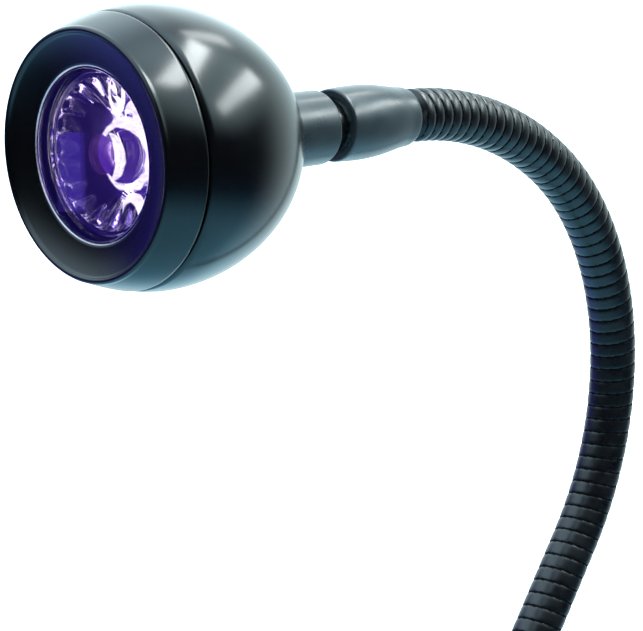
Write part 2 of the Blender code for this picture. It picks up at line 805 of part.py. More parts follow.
def base_floor():
    """Non-slip pad, steel bottom plate and its four screws."""
    plate_low = PAD_THICKNESS + GAP
    plate_high = plate_low + PLATE_THICKNESS
    pad = turned("non_slip_pad", solid_section(PAD_RADIUS, 0, PAD_THICKNESS), soft_rubber(), steps=40)
    plate = turned(
        "bottom_plate",
        solid_section(BASE_RADIUS - BASE_WALL - GAP, plate_low, plate_high),
        ballast_iron(),
        steps=40,
    )
    made = [pad, plate]
    for index, (x, y) in enumerate(ring_spots()):
        cut(plate, rod(f"plate_hole_{index}", 3.0 * MM, PAD_THICKNESS, plate_high + GAP, (x, y), sides=12))
        screw = [
            (0, plate_low),
            (2.7 * MM, plate_low),
            (2.7 * MM, plate_high - 0.2 * MM),
            (1.5 * MM, plate_high + 0.1 * MM),
            (1.5 * MM, 17 * MM),
            (0, 17 * MM),
        ]
        place = Matrix.Translation((x, y, 0))
        made.append(turned(f"base_screw_{index + 1}", screw, bright_metal(), place, 12))
    return made


def hose_mount():
    """Lower sleeve, threaded nipple, washer and nut that hold the gooseneck to the base."""
    sleeve_low = BASE_TOP + GAP
    ceiling = BASE_TOP - BASE_ROOF
    nipple = tube_section(NIPPLE_RADIUS, NIPPLE_BORE, 11.5 * MM, sleeve_low + 6.0 * MM - GAP)
    washer = tube_section(9.5 * MM, NIPPLE_RADIUS + GAP, ceiling - GAP - 1.2 * MM, ceiling - GAP)
    nut_high = ceiling - 2 * GAP - 1.2 * MM
    nut = rod("base_lock_nut", 7.5 * MM, nut_high - 3 * MM, nut_high, material=bright_metal(), sides=6)
    cut(nut, rod("base_nut_hole", NIPPLE_RADIUS + GAP, nut_high - 4 * MM, nut_high + 1 * MM))
    return [
        sleeve("base_sleeve", Matrix.Translation((0, 0, sleeve_low))),
        turned("base_nipple", nipple, bright_metal(), steps=24),
        turned("base_washer", washer, bright_metal(), steps=28),
        nut,
    ]


def power_switch():
    """Push switch body, and the trim ring round the button."""
    plate_high = PAD_THICKNESS + PLATE_THICKNESS + 2 * GAP
    body_high = 13.8 * MM
    centre = (BUTTON_X, 0, (plate_high + GAP + body_high) / 2)
    size = (SWITCH_SIDE, SWITCH_SIDE, body_high - plate_high - GAP)
    body = block("switch_body", size, centre, black_plastic())
    cut(body, rod("stem_hole", 2.4 * MM, body_high - 4 * MM, body_high + 1 * MM, (BUTTON_X, 0), sides=16))
    ring = [
        (BUTTON_RADIUS + GAP, BASE_TOP + GAP),
        (9.2 * MM, BASE_TOP + GAP),
        (9.0 * MM, BASE_TOP + 0.9 * MM),
        (8.2 * MM, BASE_TOP + 1.2 * MM),
        (BUTTON_RADIUS + GAP, BASE_TOP + 1.0 * MM),
    ]
    return [body, turned("button_ring", ring, bright_metal(), Matrix.Translation((BUTTON_X, 0, 0)), 28)]


def power_button():
    """Button cap with a flange under the base's roof and a stem into the switch."""
    ceiling = BASE_TOP - BASE_ROOF
    top = BASE_TOP + BUTTON_HEIGHT
    cap = [
        (0, top - 0.25 * MM),
        (4.5 * MM, top - 0.05 * MM),
        (BUTTON_RADIUS - 0.6 * MM, top),
        (BUTTON_RADIUS, top - 0.6 * MM),
        (BUTTON_RADIUS, ceiling - GAP),
        (8.2 * MM, ceiling - GAP),
        (8.2 * MM, ceiling - GAP - 1.0 * MM),
        (2.0 * MM, ceiling - GAP - 1.0 * MM),
        (2.0 * MM, 12 * MM),
        (0, 12 * MM),
    ]
    return turned("power_button", cap, black_anodised(), Matrix.Translation((BUTTON_X, 0, 0)), 24)


def power_inlet():
    """Small board at the rear edge with a flat power socket, its tongue, and a wire to the switch."""
    length, width, height = INLET_SIZE
    mouth = BASE_RADIUS - 0.6 * MM
    centre_x = mouth - length / 2
    socket = block("inlet_socket", INLET_SIZE, (centre_x, 0, INLET_HEIGHT), bright_metal())
    wall = 0.35 * MM
    hollow = (length - wall, width - 2 * wall, height - 2 * wall)
    cut(socket, block("socket_hollow", hollow, (centre_x + wall, 0, INLET_HEIGHT)))
    rounding = socket.modifiers.new("edges", "BEVEL")
    rounding.width = 0.15 * MM
    rounding.segments = 1
    rounding.limit_method = "ANGLE"
    rounding.angle_limit = math.radians(60)
    tongue_size = (4.8 * MM, 6.0 * MM, 0.7 * MM)
    tongue = block("inlet_tongue", tongue_size, (mouth - 4.2 * MM, 0, INLET_HEIGHT), black_plastic())
    board_high = INLET_HEIGHT - height / 2 - GAP
    board_size = (15 * MM, 17 * MM, 1.2 * MM)
    board_x = BASE_RADIUS - BASE_WALL - 1.5 * MM - board_size[0] / 2
    board = block("inlet_board", board_size, (board_x, 0, board_high - board_size[2] / 2), circuit_board())
    board_edge = board_x - board_size[0] / 2
    lead_height = board_high - board_size[2] / 2
    side = 7 * MM
    route = [
        Vector((board_edge - GAP, side, lead_height)),
        Vector((12 * MM, side + 0.8 * MM, 8 * MM)),
        Vector((0, side + 1.2 * MM, 6.5 * MM)),
        Vector((-14 * MM, side + 0.3 * MM, 6.2 * MM)),
        Vector((-23 * MM, 4.6 * MM, 6.2 * MM)),
        Vector((BUTTON_X + SWITCH_SIDE / 2 + GAP, 3 * MM, 6.2 * MM)),
    ]
    lead = tube("inlet_lead", route, [0.9 * MM] * len(route), cable_jacket(), fineness=2)
    return [socket, tongue, board, lead]


def base():
    return [
        base_shell(),
        base_ballast(),
        *base_floor(),
        *hose_mount(),
        *power_switch(),
        *power_inlet(),
    ]


def main():
    clear_scene()
    pivots = []
    for number in range(1, LINKS):
        point, _ = along_hose(joint_distance(number))
        pivots.append(pivot_empty(f"pivot_{number}", Matrix.Translation(point)))
    head = lamp_head(head_place())
    links = [(hose_link(number), hose_cable(number)) for number in range(1, LINKS + 1)]
    base()
    power_button()
    for lower, upper in zip(pivots, pivots[1:]):
        hang(upper, lower)
    for pivot, pieces in zip(pivots, links[1:]):
        for piece in pieces:
            hang(piece, pivot)
    for piece in head:
        hang(piece, pivots[-1])


main()
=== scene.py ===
"""Looks of the ultraviolet curing lamp: fine surfaces, materials, studio and camera round the CAD frame.

Metres, +Z up, in the CAD's own frame: the gooseneck bends in the XZ plane and the lamp head looks along -X.
"""

import math

import bmesh
import bpy
from mathutils import Matrix, Vector


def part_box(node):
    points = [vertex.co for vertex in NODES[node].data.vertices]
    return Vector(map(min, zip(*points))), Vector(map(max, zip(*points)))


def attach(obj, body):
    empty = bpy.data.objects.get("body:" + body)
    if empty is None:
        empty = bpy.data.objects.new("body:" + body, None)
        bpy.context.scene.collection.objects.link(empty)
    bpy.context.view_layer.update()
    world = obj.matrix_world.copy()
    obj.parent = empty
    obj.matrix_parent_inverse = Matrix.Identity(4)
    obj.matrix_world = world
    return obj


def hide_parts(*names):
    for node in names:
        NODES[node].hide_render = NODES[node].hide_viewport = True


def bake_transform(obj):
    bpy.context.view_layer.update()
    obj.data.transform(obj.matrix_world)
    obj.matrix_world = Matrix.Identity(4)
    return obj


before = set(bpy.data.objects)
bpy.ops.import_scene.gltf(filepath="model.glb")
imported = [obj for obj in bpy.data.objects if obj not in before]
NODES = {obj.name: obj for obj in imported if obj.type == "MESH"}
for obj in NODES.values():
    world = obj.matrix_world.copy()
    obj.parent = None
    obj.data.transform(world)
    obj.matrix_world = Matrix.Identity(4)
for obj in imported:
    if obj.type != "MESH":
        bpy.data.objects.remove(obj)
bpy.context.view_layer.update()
MM = 0.001
FULL_TURN = 2 * math.pi

# Gooseneck, from the base up, as the CAD has it: kind, length or radius, degrees of turn.
HOSE_RUNS = (
    ("straight", 10 * MM, 0),
    ("bend", 70 * MM, -37.5),
    ("straight", 30 * MM, 0),
    ("bend", 72 * MM, 94.0),
    ("bend", 97 * MM, 33.5),
)
HOSE_BORE = 3.4 * MM
HOSE_SHOULDER = 5.4 * MM
HOSE_TENON = 4.2 * MM
HOSE_SHADOW_GAP = 3 * MM
HOSE_AROUND = 56
HOSE_BLEND = 15 * MM
LINKS = 7

# Turned ends of the gooseneck, from inside the sleeve back to the coil: distance past it, and radius.
TENON = (
    (HOSE_SHADOW_GAP + 14 * MM, HOSE_TENON),
    (HOSE_SHADOW_GAP - 0.28 * MM, HOSE_TENON),
    (HOSE_SHADOW_GAP - 0.3 * MM, HOSE_SHOULDER),
    (0.02 * MM, HOSE_SHOULDER),
)

# Coil of the gooseneck. Pitch, groove depth and flatness of the ridges are given far from the neck
# and at the neck, and they fade from one to the other over COIL_FADE. The painted shade of a groove,
# a dull black, starts GROOVE_STARTS of the way from the ridge's top to the groove's bottom.
COIL_PITCH = (3.75 * MM, 2.95 * MM)
COIL_DEPTH = (0.24 * MM, 0.912 * MM)
COIL_FLATNESS = (3.6, 1.6)
COIL_FADE = 45 * MM
COIL_RADIUS = 6.05 * MM
COIL_SAMPLES = 0.24 * MM
COIL_STEP = 0.1 * MM
GROOVE_STARTS = 0.84

# Sizes that several pieces share.
LENS_RADIUS = 16.3 * MM
BOWL_BORE = 23.3 * MM
NIPPLE_HOLE = 4.3 * MM
BASE_ROOF = 2.5 * MM
BUTTON_HOLE = 7.0 * MM

# Camera, from the front left of the head, and where it holds the rim's centre: right, up and ahead.
CAMERA_AZIMUTH = -46.69
CAMERA_ELEVATION = 13.14
CAMERA_LENS = 95.2
RIM_IN_VIEW = (-44.47 * MM, 29.3 * MM, 314.68 * MM)

# Painted highlights on the collimator's front, each an outer oval less an inner one. An oval is its
# centre's place to the right of the lens axis and above it, then its reach sideways and upwards.
PAINTED_HIGHLIGHTS = (
    ((1.8 * MM, -0.1 * MM, 5.35 * MM, 4.55 * MM), (-1.1 * MM, -0.3 * MM, 5.2 * MM, 6.4 * MM)),
    ((7.15 * MM, 0.6 * MM, 7.3 * MM, 7.06 * MM), (6.35 * MM, 0.33 * MM, 6.6 * MM, 5.28 * MM)),
    ((10.0 * MM, 7.8 * MM, 3.1 * MM, 3.3 * MM), (8.4 * MM, 7.8 * MM, 0.9 * MM, 0.7 * MM)),
    ((9.4 * MM, -9.9 * MM, 3.7 * MM, 3.9 * MM), (8.0 * MM, -12.2 * MM, 2.5 * MM, 4.2 * MM)),
    ((4.9 * MM, 11.6 * MM, 2.5 * MM, 3.6 * MM), (4.7 * MM, 12.2 * MM, 1.6 * MM, 3.2 * MM)),
)

# Studio. Azimuth 0 is -Y and 90 is +X, in degrees. Glows: azimuth, elevation, radius where it is
# full, radius where it ends, colour. Softboxes: name, azimuth, elevation, width, height, radiance, colour.
STUDIO_DARK = (0.012, 0.012, 0.02)
GLOWS = (
    (120, 0, 6, 68, (1.15, 1.5, 1.55)),
    (150, 32, 5, 45, (0.9, 1.1, 1.2)),
    (133, -90, 38, 68, (0.3, 0.8, 1.02)),
    (100, -90, 40, 84, (0.0, 0.08, 0.2)),
    (42, 50, 14, 44, (1.4, 2.0, 2.15)),
    (-136, 60, 20, 60, (1.6, 2.2, 2.6)),
    (-157, -43, 4, 36, (0.14, 0.18, 0.6)),
    (-172, -12, 5, 40, (0.05, 0.03, 0.5)),
)
LENS_DARK = (0.01, 0.005, 0.04)
LENS_GLOWS = ((-90, -25, 28, 36, (2.4, 2.6, 2.4)), (-102, 2, 13, 20, (2.4, 2.6, 2.4)))
COOL_WHITE = (0.93, 0.99, 1.0)
SOFTBOXES = (
    ("softbox_top", 47, 62, 44, 12, 15.0, COOL_WHITE),
    ("softbox_side", 54, 31, 48, 9, 9.0, COOL_WHITE),
    ("softbox_back", 101, 48, 8, 22, 5.6, COOL_WHITE),
    ("violet_card", -141.1, -8.3, 1.05, 3.4, 1.1, (0.15, 0.08, 1.0)),
)
SOFTBOX_DISTANCE = 1.0


# ---------------- where things are


def span(node, axis):
    """Lowest and highest place of a round CAD node along X (0) or Z (2), and its radius."""
    low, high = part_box(node)
    return low[axis], high[axis], (high.y - low.y) / 2


def middle(node):
    """Centre of a CAD node's box."""
    low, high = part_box(node)
    return (low + high) / 2


RIM_X, SPIGOT_BACK, _ = span("bezel_ring", 0)
SHELL_FRONT, SHELL_BACK, WIDEST = span("head_shell", 0)
HEAD_Z = middle("bezel_ring").z
BASE_LOW, BASE_TOP, BASE_RADIUS = span("base_shell", 2)
HEAD_PLACE = Matrix.Translation((RIM_X, 0, HEAD_Z)) @ Matrix.Rotation(math.radians(90), 4, "Y")
HEAD_CENTRE = Vector(((RIM_X + SHELL_BACK) / 2, 0, HEAD_Z))


def depth(x):
    """Depth behind the rim plane of a place along X."""
    return x - RIM_X


def run_length(kind, size, turn):
    return size if kind == "straight" else size * abs(math.radians(turn))


HOSE_LENGTH = sum(run_length(*run) for run in HOSE_RUNS)
HOSE_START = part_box("base_sleeve")[1].z + HOSE_SHADOW_GAP


def along_hose(distance):
    """Point on the gooseneck's centreline this far above its base end, and its unit direction there."""
    x, z, tilt = 0.0, HOSE_START, math.pi / 2
    if distance < 0:
        z += distance
    left = max(distance, 0.0)
    for kind, size, turn in HOSE_RUNS:
        length = run_length(kind, size, turn)
        share = min(left, length) / length
        if kind == "straight":
            x += share * length * math.cos(tilt)
            z += share * length * math.sin(tilt)
        else:
            angle = math.radians(turn) * share
            radius = math.copysign(size, turn)
            x += radius * (math.sin(tilt + angle) - math.sin(tilt))
            z -= radius * (math.cos(tilt + angle) - math.cos(tilt))
            tilt += angle
        left -= share * length
    direction = Vector((math.cos(tilt), 0, math.sin(tilt)))
    return Vector((x, 0, z)) + direction * max(left, 0.0), direction


# ---------------- mesh tools


def add_mesh(name, mesh, finish, body, nodes):
    """A piece from its mesh: its finish, the body it rides on if any, and the CAD nodes it stands for."""
    piece = bpy.data.objects.new(name, mesh)
    bpy.context.scene.collection.objects.link(piece)
    mesh.materials.append(finish)
    if body:
        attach(piece, body)
    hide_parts(*nodes)
    return piece


def skin(name, rings, closed=True):
    """Closed mesh through rings with as many points each; the last ring joins the first if closed."""
    form = bmesh.new()
    rows = [[form.verts.new(point) for point in ring] for ring in rings]
    pairs = list(zip(rows, rows[1:]))
    if closed:
        pairs.append((rows[-1], rows[0]))
    for row, following in pairs:
        for index, corner in enumerate(row):
            ahead = (index + 1) % len(row)
            form.faces.new((corner, row[ahead], following[ahead], following[index]))
    bmesh.ops.remove_doubles(form, verts=form.verts, dist=0.001 * MM)
    bmesh.ops.recalc_face_normals(form, faces=form.faces)
    mesh = bpy.data.meshes.new(name)
    form.to_mesh(mesh)
    form.free()
    mesh.shade_smooth()
    return mesh


def section(corners):
    """Outline from (radius, depth) or (radius, depth, rounding) corners, each rounding made a short arc."""
    steps = 4
    outline = []
    for index, (radius, height, *rounding) in enumerate(corners):
        here = Vector((radius, height))
        if not rounding:
            outline.append(here)
            continue
        before = Vector(corners[index - 1][:2]) - here
        after = Vector(corners[(index + 1) % len(corners)][:2]) - here
        start = here + before.normalized() * rounding[0]
        end = here + after.normalized() * rounding[0]
        for step in range(steps + 1):
            share = step / steps
            outline.append(start * (1 - share) ** 2 + here * 2 * share * (1 - share) + end * share**2)
    return outline


def turned(name, outline, place=Matrix(), segments=128):
    """Mesh turned about local Z from (radius, height) points round its section."""
    on_axis = outline[0][0] == 0
    rings = []
    for radius, height in map(Vector, outline):
        ring = []
        for index in range(segments):
            angle = FULL_TURN * index / segments
            ring.append(place @ Vector((radius * math.cos(angle), radius * math.sin(angle), height)))
        rings.append(ring)
    return skin(name, rings, closed=not on_axis)


def carve(name, mesh, steps):
    """The mesh after Boolean steps, each an operation and the mesh it uses."""
    helpers = [bpy.data.objects.new(name + "_blank", mesh)]
    for operation, other in steps:
        helpers.append(bpy.data.objects.new(name + "_tool", other))
        boolean = helpers[0].modifiers.new("step", "BOOLEAN")
        boolean.operation = operation
        boolean.object = helpers[-1]
    for helper in helpers:
        bpy.context.scene.collection.objects.link(helper)
    evaluated = helpers[0].evaluated_get(bpy.context.evaluated_depsgraph_get())
    shaped = bpy.data.meshes.new_from_object(evaluated)
    for helper in helpers:
        bpy.data.objects.remove(helper, do_unlink=True)
    shaped.name = name
    shaped.materials.clear()
    shaped.shade_smooth()
    shaped.set_sharp_from_angle(angle=math.radians(35))
    return shaped


def peg(radius, low, high, centre=(0, 0)):
    """Upright round rod, used as a Boolean tool."""
    outline = [(0, low), (radius, low), (radius, high), (0, high)]
    return turned("peg", outline, Matrix.Translation((*centre, 0)), 48)


def pill(name, faces, centre):
    """Solid through flat-sided ovals across X, each its distance along X, its width and its height."""
    steps = 10
    rings = []
    for distance, width, height in faces:
        radius = min(width, height) / 2
        ring = []
        for index in range(4 * steps):
            quarter, step = divmod(index, steps)
            angle = math.radians(90) * (quarter + step / (steps - 1))
            side_y = (width / 2 - radius) * (1 if quarter in (0, 3) else -1)
            side_z = (height / 2 - radius) * (1 if quarter in (0, 1) else -1)
            offset = (distance, side_y + radius * math.cos(angle), side_z + radius * math.sin(angle))
            ring.append(centre + Vector(offset))
        rings.append(ring)
    return skin(name, rings, closed=False)


def even_normals(piece):
    """Keeps flat faces flat next to small roundings."""
    piece.modifiers.new("even_normals", "WEIGHTED_NORMAL")
    return piece


# ---------------- material tools


class Finish:
    """A material's node tree, with short ways to add nodes."""

    def __init__(self, name, colour, roughness, metallic=0.0, **sockets):
        self.material = bpy.data.materials.new(name)
        self.material.use_nodes = True
        self.tree = self.material.node_tree
        self.shader = self.tree.nodes["Principled BSDF"]
        self.place = self.node("ShaderNodeTexCoord").outputs["Object"]
        self.shader.inputs["Base Color"].default_value = (*colour, 1)
        self.shader.inputs["Roughness"].default_value = roughness
        self.shader.inputs["Metallic"].default_value = metallic
        for socket, value in sockets.items():
            socket_name = socket.replace("_", " ").title().replace("Ior", "IOR")
            self.shader.inputs[socket_name].default_value = value

    def node(self, kind, **settings):
        made = self.tree.nodes.new(kind)
        for key, value in settings.items():
            setattr(made, key, value)
        return made

    def link(self, source, target):
        self.tree.links.new(source, target)

    def noise(self, size, detail=3.0, stretch=(1, 1, 1)):
        """Noise whose grains are about this size."""
        mapping = self.node("ShaderNodeMapping")
        mapping.inputs["Scale"].default_value = stretch
        self.link(self.place, mapping.inputs["Vector"])
        noise = self.node("ShaderNodeTexNoise")
        noise.inputs["Scale"].default_value = 1 / size
        noise.inputs["Detail"].default_value = detail
        self.link(mapping.outputs["Vector"], noise.inputs["Vector"])
        return noise.outputs["Fac"]

    def spread(self, source, low, high, start=0.3, end=0.7):
        """The source's start..end range carried over to low..high."""
        span_map = self.node("ShaderNodeMapRange")
        span_map.inputs["From Min"].default_value = start
        span_map.inputs["From Max"].default_value = end
        span_map.inputs["To Min"].default_value = low
        span_map.inputs["To Max"].default_value = high
        self.link(source, span_map.inputs["Value"])
        return span_map.outputs["Result"]

    def fading(self, source, reach):
        """The source near the head's axis, faded to a few percent of it at this distance, as painted light
        falls off away from the emitter.
        """
        full_share, left_over = 0.45, 0.06
        away = self.node("ShaderNodeVectorMath", operation="MULTIPLY_ADD")
        away.inputs[1].default_value = (0, 1, 1)
        away.inputs[2].default_value = (0, 0, -HEAD_Z)
        self.link(self.place, away.inputs[0])
        length = self.node("ShaderNodeVectorMath", operation="LENGTH")
        self.link(away.outputs["Vector"], length.inputs[0])
        share = self.node("ShaderNodeMapRange", interpolation_type="SMOOTHSTEP")
        share.inputs["From Min"].default_value = reach * full_share
        share.inputs["From Max"].default_value = reach
        share.inputs["To Min"].default_value = 1
        share.inputs["To Max"].default_value = left_over
        self.link(length.outputs["Value"], share.inputs["Value"])
        return self.math("MULTIPLY", source, share.outputs["Result"])

    def math(self, operation, first, second):
        made = self.node("ShaderNodeMath", operation=operation)
        for socket, value in zip(made.inputs, (first, second)):
            if isinstance(value, (int, float)):
                socket.default_value = value
            else:
                self.link(value, socket)
        return made.outputs["Value"]

    def round_patch(self, right, above, sideways, upwards, wander):
        """1 inside an oval on the lens and 0 outside, its edge moved in and out by the wander source: the
        mask of a painted highlight.
        """
        scaled = self.node("ShaderNodeMapping", vector_type="TEXTURE")
        scaled.inputs["Location"].default_value = (RIM_X, -right, HEAD_Z + above)
        scaled.inputs["Scale"].default_value = (1, sideways, upwards)
        self.link(self.place, scaled.inputs["Vector"])
        length = self.node("ShaderNodeVectorMath", operation="LENGTH")
        self.link(scaled.outputs["Vector"], length.inputs[0])
        soft_from = 0.94
        return self.spread(self.math("ADD", length.outputs["Value"], wander), 1, 0, soft_from, 1.0)

    def shades(self, source, dark, light):
        """Base colour that runs from dark to light with the source."""
        ramp = self.node("ShaderNodeValToRGB")
        ramp.color_ramp.elements[0].position = 0.3
        ramp.color_ramp.elements[1].position = 0.7
        ramp.color_ramp.elements[0].color = (*dark, 1)
        ramp.color_ramp.elements[1].color = (*light, 1)
        self.link(source, ramp.inputs["Fac"])
        self.link(ramp.outputs["Color"], self.shader.inputs["Base Color"])

    def rough(self, source, low, high):
        self.link(self.spread(source, low, high), self.shader.inputs["Roughness"])

    def bump(self, height, strength, distance):
        bump = self.node("ShaderNodeBump")
        bump.inputs["Strength"].default_value = strength
        bump.inputs["Distance"].default_value = distance
        self.link(height, bump.inputs["Height"])
        self.link(bump.outputs["Normal"], self.shader.inputs["Normal"])


def anodised():
    """Satin black anodised aluminium with a fine blasted grain."""
    made = Finish("black_anodised", (0.012, 0.016, 0.02), 0.2, ior=1.55)
    cloud = made.noise(9 * MM)
    grain = made.noise(0.28 * MM, 2.0)
    made.shades(cloud, (0.0008, 0.0009, 0.0011), (0.0014, 0.0016, 0.002))
    made.rough(cloud, 0.17, 0.21)
    made.bump(grain, 0.16, 0.02 * MM)
    return made.material


def satin_grey():
    """Duller dark grey anodised finish of the neck."""
    made = Finish("grey_anodised", (0.016, 0.024, 0.028), 0.3, ior=1.6)
    cloud = made.noise(6 * MM)
    grain = made.noise(0.3 * MM, 2.0)
    made.shades(cloud, (0.011, 0.018, 0.021), (0.017, 0.026, 0.03))
    made.rough(cloud, 0.26, 0.34)
    made.bump(grain, 0.2, 0.02 * MM)
    return made.material


def hose_coat():
    """Black coating of the gooseneck, a little duller than the head, with patches of more gloss."""
    made = Finish("black_hose", (0.01, 0.015, 0.02), 0.3, ior=1.55)
    cloud = made.noise(5 * MM)
    grain = made.noise(0.35 * MM, 2.0)
    made.shades(cloud, (0.0012, 0.0018, 0.0026), (0.003, 0.004, 0.0055))
    made.rough(cloud, 0.26, 0.36)
    made.bump(grain, 0.2, 0.03 * MM)
    return made.material


def groove_painted_shade():
    """Painted shade: dull black at the bottom of the grooves between the turns of the gooseneck."""
    made = Finish("groove_painted_shade", (0.001, 0.0015, 0.002), 0.7, specular_ior_level=0.06)
    made.rough(made.noise(1 * MM), 0.6, 0.8)
    return made.material


def powder_coat():
    """Fine-textured black powder coat of the base."""
    made = Finish("base_coat", (0.01, 0.011, 0.012), 0.45, specular_ior_level=0.3)
    cloud = made.noise(20 * MM)
    grain = made.noise(0.7 * MM, 4.0)
    made.shades(cloud, (0.007, 0.008, 0.009), (0.011, 0.012, 0.014))
    made.rough(grain, 0.36, 0.5)
    made.bump(grain, 0.35, 0.08 * MM)
    return made.material


def bright_steel():
    made = Finish("bright_steel", (0.7, 0.71, 0.73), 0.22, 1.0)
    made.shades(made.noise(4 * MM), (0.62, 0.63, 0.65), (0.75, 0.76, 0.78))
    made.rough(made.noise(1.2 * MM, 3.0, (1, 1, 8)), 0.16, 0.3)
    made.bump(made.noise(0.4 * MM, 2.0, (1, 1, 6)), 0.12, 0.02 * MM)
    return made.material


def milled_aluminium():
    made = Finish("plain_aluminium", (0.78, 0.78, 0.79), 0.3, 1.0)
    made.shades(made.noise(6 * MM), (0.7, 0.7, 0.71), (0.82, 0.82, 0.83))
    made.rough(made.noise(0.8 * MM, 3.0, (8, 1, 1)), 0.24, 0.42)
    made.bump(made.noise(0.3 * MM, 2.0, (6, 1, 1)), 0.15, 0.02 * MM)
    return made.material


def cast_iron():
    made = Finish("ballast_iron", (0.1, 0.1, 0.1), 0.6, 0.9)
    made.shades(made.noise(7 * MM, 5.0), (0.06, 0.058, 0.055), (0.14, 0.138, 0.135))
    made.rough(made.noise(2 * MM), 0.5, 0.75)
    made.bump(made.noise(0.9 * MM, 5.0), 0.5, 0.15 * MM)
    return made.material


def zinc_plate():
    made = Finish("plate_steel", (0.5, 0.51, 0.52), 0.38, 1.0)
    made.shades(made.noise(5 * MM, 1.0), (0.4, 0.41, 0.43), (0.56, 0.57, 0.58))
    made.rough(made.noise(3 * MM, 4.0), 0.3, 0.48)
    made.bump(made.noise(0.6 * MM), 0.1, 0.03 * MM)
    return made.material


def black_plastic():
    made = Finish("black_plastic", (0.018, 0.018, 0.02), 0.42)
    made.shades(made.noise(8 * MM), (0.014, 0.014, 0.016), (0.022, 0.022, 0.025))
    made.rough(made.noise(0.5 * MM), 0.36, 0.5)
    made.bump(made.noise(0.25 * MM, 2.0), 0.25, 0.03 * MM)
    return made.material


def soft_rubber():
    made = Finish("soft_rubber", (0.022, 0.022, 0.023), 0.75)
    made.shades(made.noise(6 * MM), (0.017, 0.017, 0.018), (0.03, 0.03, 0.031))
    made.rough(made.noise(1.5 * MM), 0.68, 0.86)
    made.bump(made.noise(0.5 * MM, 4.0), 0.5, 0.08 * MM)
    return made.material


def solder_mask():
    made = Finish("circuit_board", (0.02, 0.12, 0.05), 0.4)
    made.shades(made.noise(2.2 * MM, 2.0), (0.012, 0.075, 0.03), (0.03, 0.16, 0.07))
    made.rough(made.noise(1 * MM), 0.3, 0.5)
    made.bump(made.noise(1.1 * MM, 1.0), 0.3, 0.05 * MM)
    return made.material


def white_ceramic():
    # The violet emission is a painted glow of the LED's light on its white package.
    painted_violet_glow = (0.3, 0.12, 0.9, 1)
    made = Finish("white_ceramic", (0.8, 0.79, 0.76), 0.45, emission_color=painted_violet_glow, emission_strength=0.5)
    made.shades(made.noise(1 * MM), (0.74, 0.73, 0.7), (0.84, 0.83, 0.8))
    made.rough(made.noise(0.4 * MM), 0.38, 0.52)
    return made.material


def wire_jacket(name, dark, light):
    made = Finish(name, light, 0.42)
    made.shades(made.noise(2 * MM), dark, light)
    made.rough(made.noise(0.8 * MM), 0.36, 0.5)
    made.bump(made.noise(0.4 * MM, 2.0), 0.15, 0.02 * MM)
    return made.material


OPTIC_TINT = (0.9, 0.8, 1.0)


def clear_plastic(name, painted_glow_strength, tint, glow=(0.07, 0.02, 1.0), roughness=0.0):
    """Clear optical plastic, tinted and faintly glowing violet: painted tint and glow for the lamp's light
    scattered in it.
    """
    made = Finish(
        name,
        tint,
        roughness,
        transmission_weight=1.0,
        ior=1.49,
        emission_color=(*glow, 1),
        emission_strength=painted_glow_strength,
    )
    made.bump(made.noise(3 * MM, 1.0), 0.03, 0.01 * MM)
    return made.material


def painted_highlights():
    """Front of the collimator, with streaky painted highlights: emission in ovals where the lamp's light
    would collect.
    """
    made = Finish(
        "painted_highlights",
        OPTIC_TINT,
        0.0,
        transmission_weight=1.0,
        ior=1.49,
        emission_color=(1.0, 0.92, 1.0, 1),
    )
    wander = made.spread(made.noise(2.8 * MM, 2.0), -0.05, 0.05)
    total = 0.0
    for outer, inner in PAINTED_HIGHLIGHTS:
        outside = made.math("SUBTRACT", 1, made.round_patch(*inner, wander))
        patch = made.math("MULTIPLY", made.round_patch(*outer, wander), outside)
        total = made.math("MAXIMUM", total, patch)
    highlight_streaks = made.spread(made.noise(0.9 * MM, 2.0, (1, 0.4, 1.6)), 0.85, 1.4)
    made.link(made.math("MULTIPLY", total, highlight_streaks), made.shader.inputs["Emission Strength"])
    return made.material


def painted_glint_bevel():
    """Bright-cut bevel round the window, with the lamp's own light painted on it as patchy emission: a
    painted glint.
    """
    made = Finish("painted_glint_bevel", (0.34, 0.34, 0.44), 0.3, 0.6, emission_color=(0.62, 0.64, 0.85, 1))
    painted_glint_patches = made.noise(9 * MM, 2.0)
    made.link(made.spread(painted_glint_patches, 0.06, 0.6, 0.35, 0.65), made.shader.inputs["Emission Strength"])
    made.rough(made.noise(0.5 * MM), 0.2, 0.4)
    return made.material


def lit(name, colour, strength, base=(0.05, 0.03, 0.2), reach=None):
    """Glowing surface at the emitter: the LED's own light, and on the parts round it a painted glow of its
    violet light; with a reach, less and less away from the head's axis.
    """
    made = Finish(name, base, 0.4, emission_color=(*colour, 1))
    cloud = made.noise(1.2 * MM)
    glow = made.spread(cloud, strength * 0.85, strength * 1.15)
    if reach:
        glow = made.fading(glow, reach)
    made.link(glow, made.shader.inputs["Emission Strength"])
    made.rough(cloud, 0.35, 0.5)
    return made.material


BLACK = anodised()
NECK = satin_grey()
HOSE_COAT = hose_coat()
GROOVE_PAINTED_SHADE = groove_painted_shade()
BASE_COAT = powder_coat()
STEEL = bright_steel()
ALUMINIUM = milled_aluminium()
IRON = cast_iron()
PLATE = zinc_plate()
PLASTIC = black_plastic()
RUBBER = soft_rubber()
BOARD = solder_mask()
CERAMIC = white_ceramic()
JACKET = wire_jacket("cable_jacket", (0.03, 0.03, 0.033), (0.05, 0.05, 0.055))
RED_WIRE = wire_jacket("red_wire", (0.42, 0.015, 0.012), (0.6, 0.03, 0.02))
BLACK_WIRE = wire_jacket("black_wire", (0.014, 0.014, 0.015), (0.025, 0.025, 0.027))
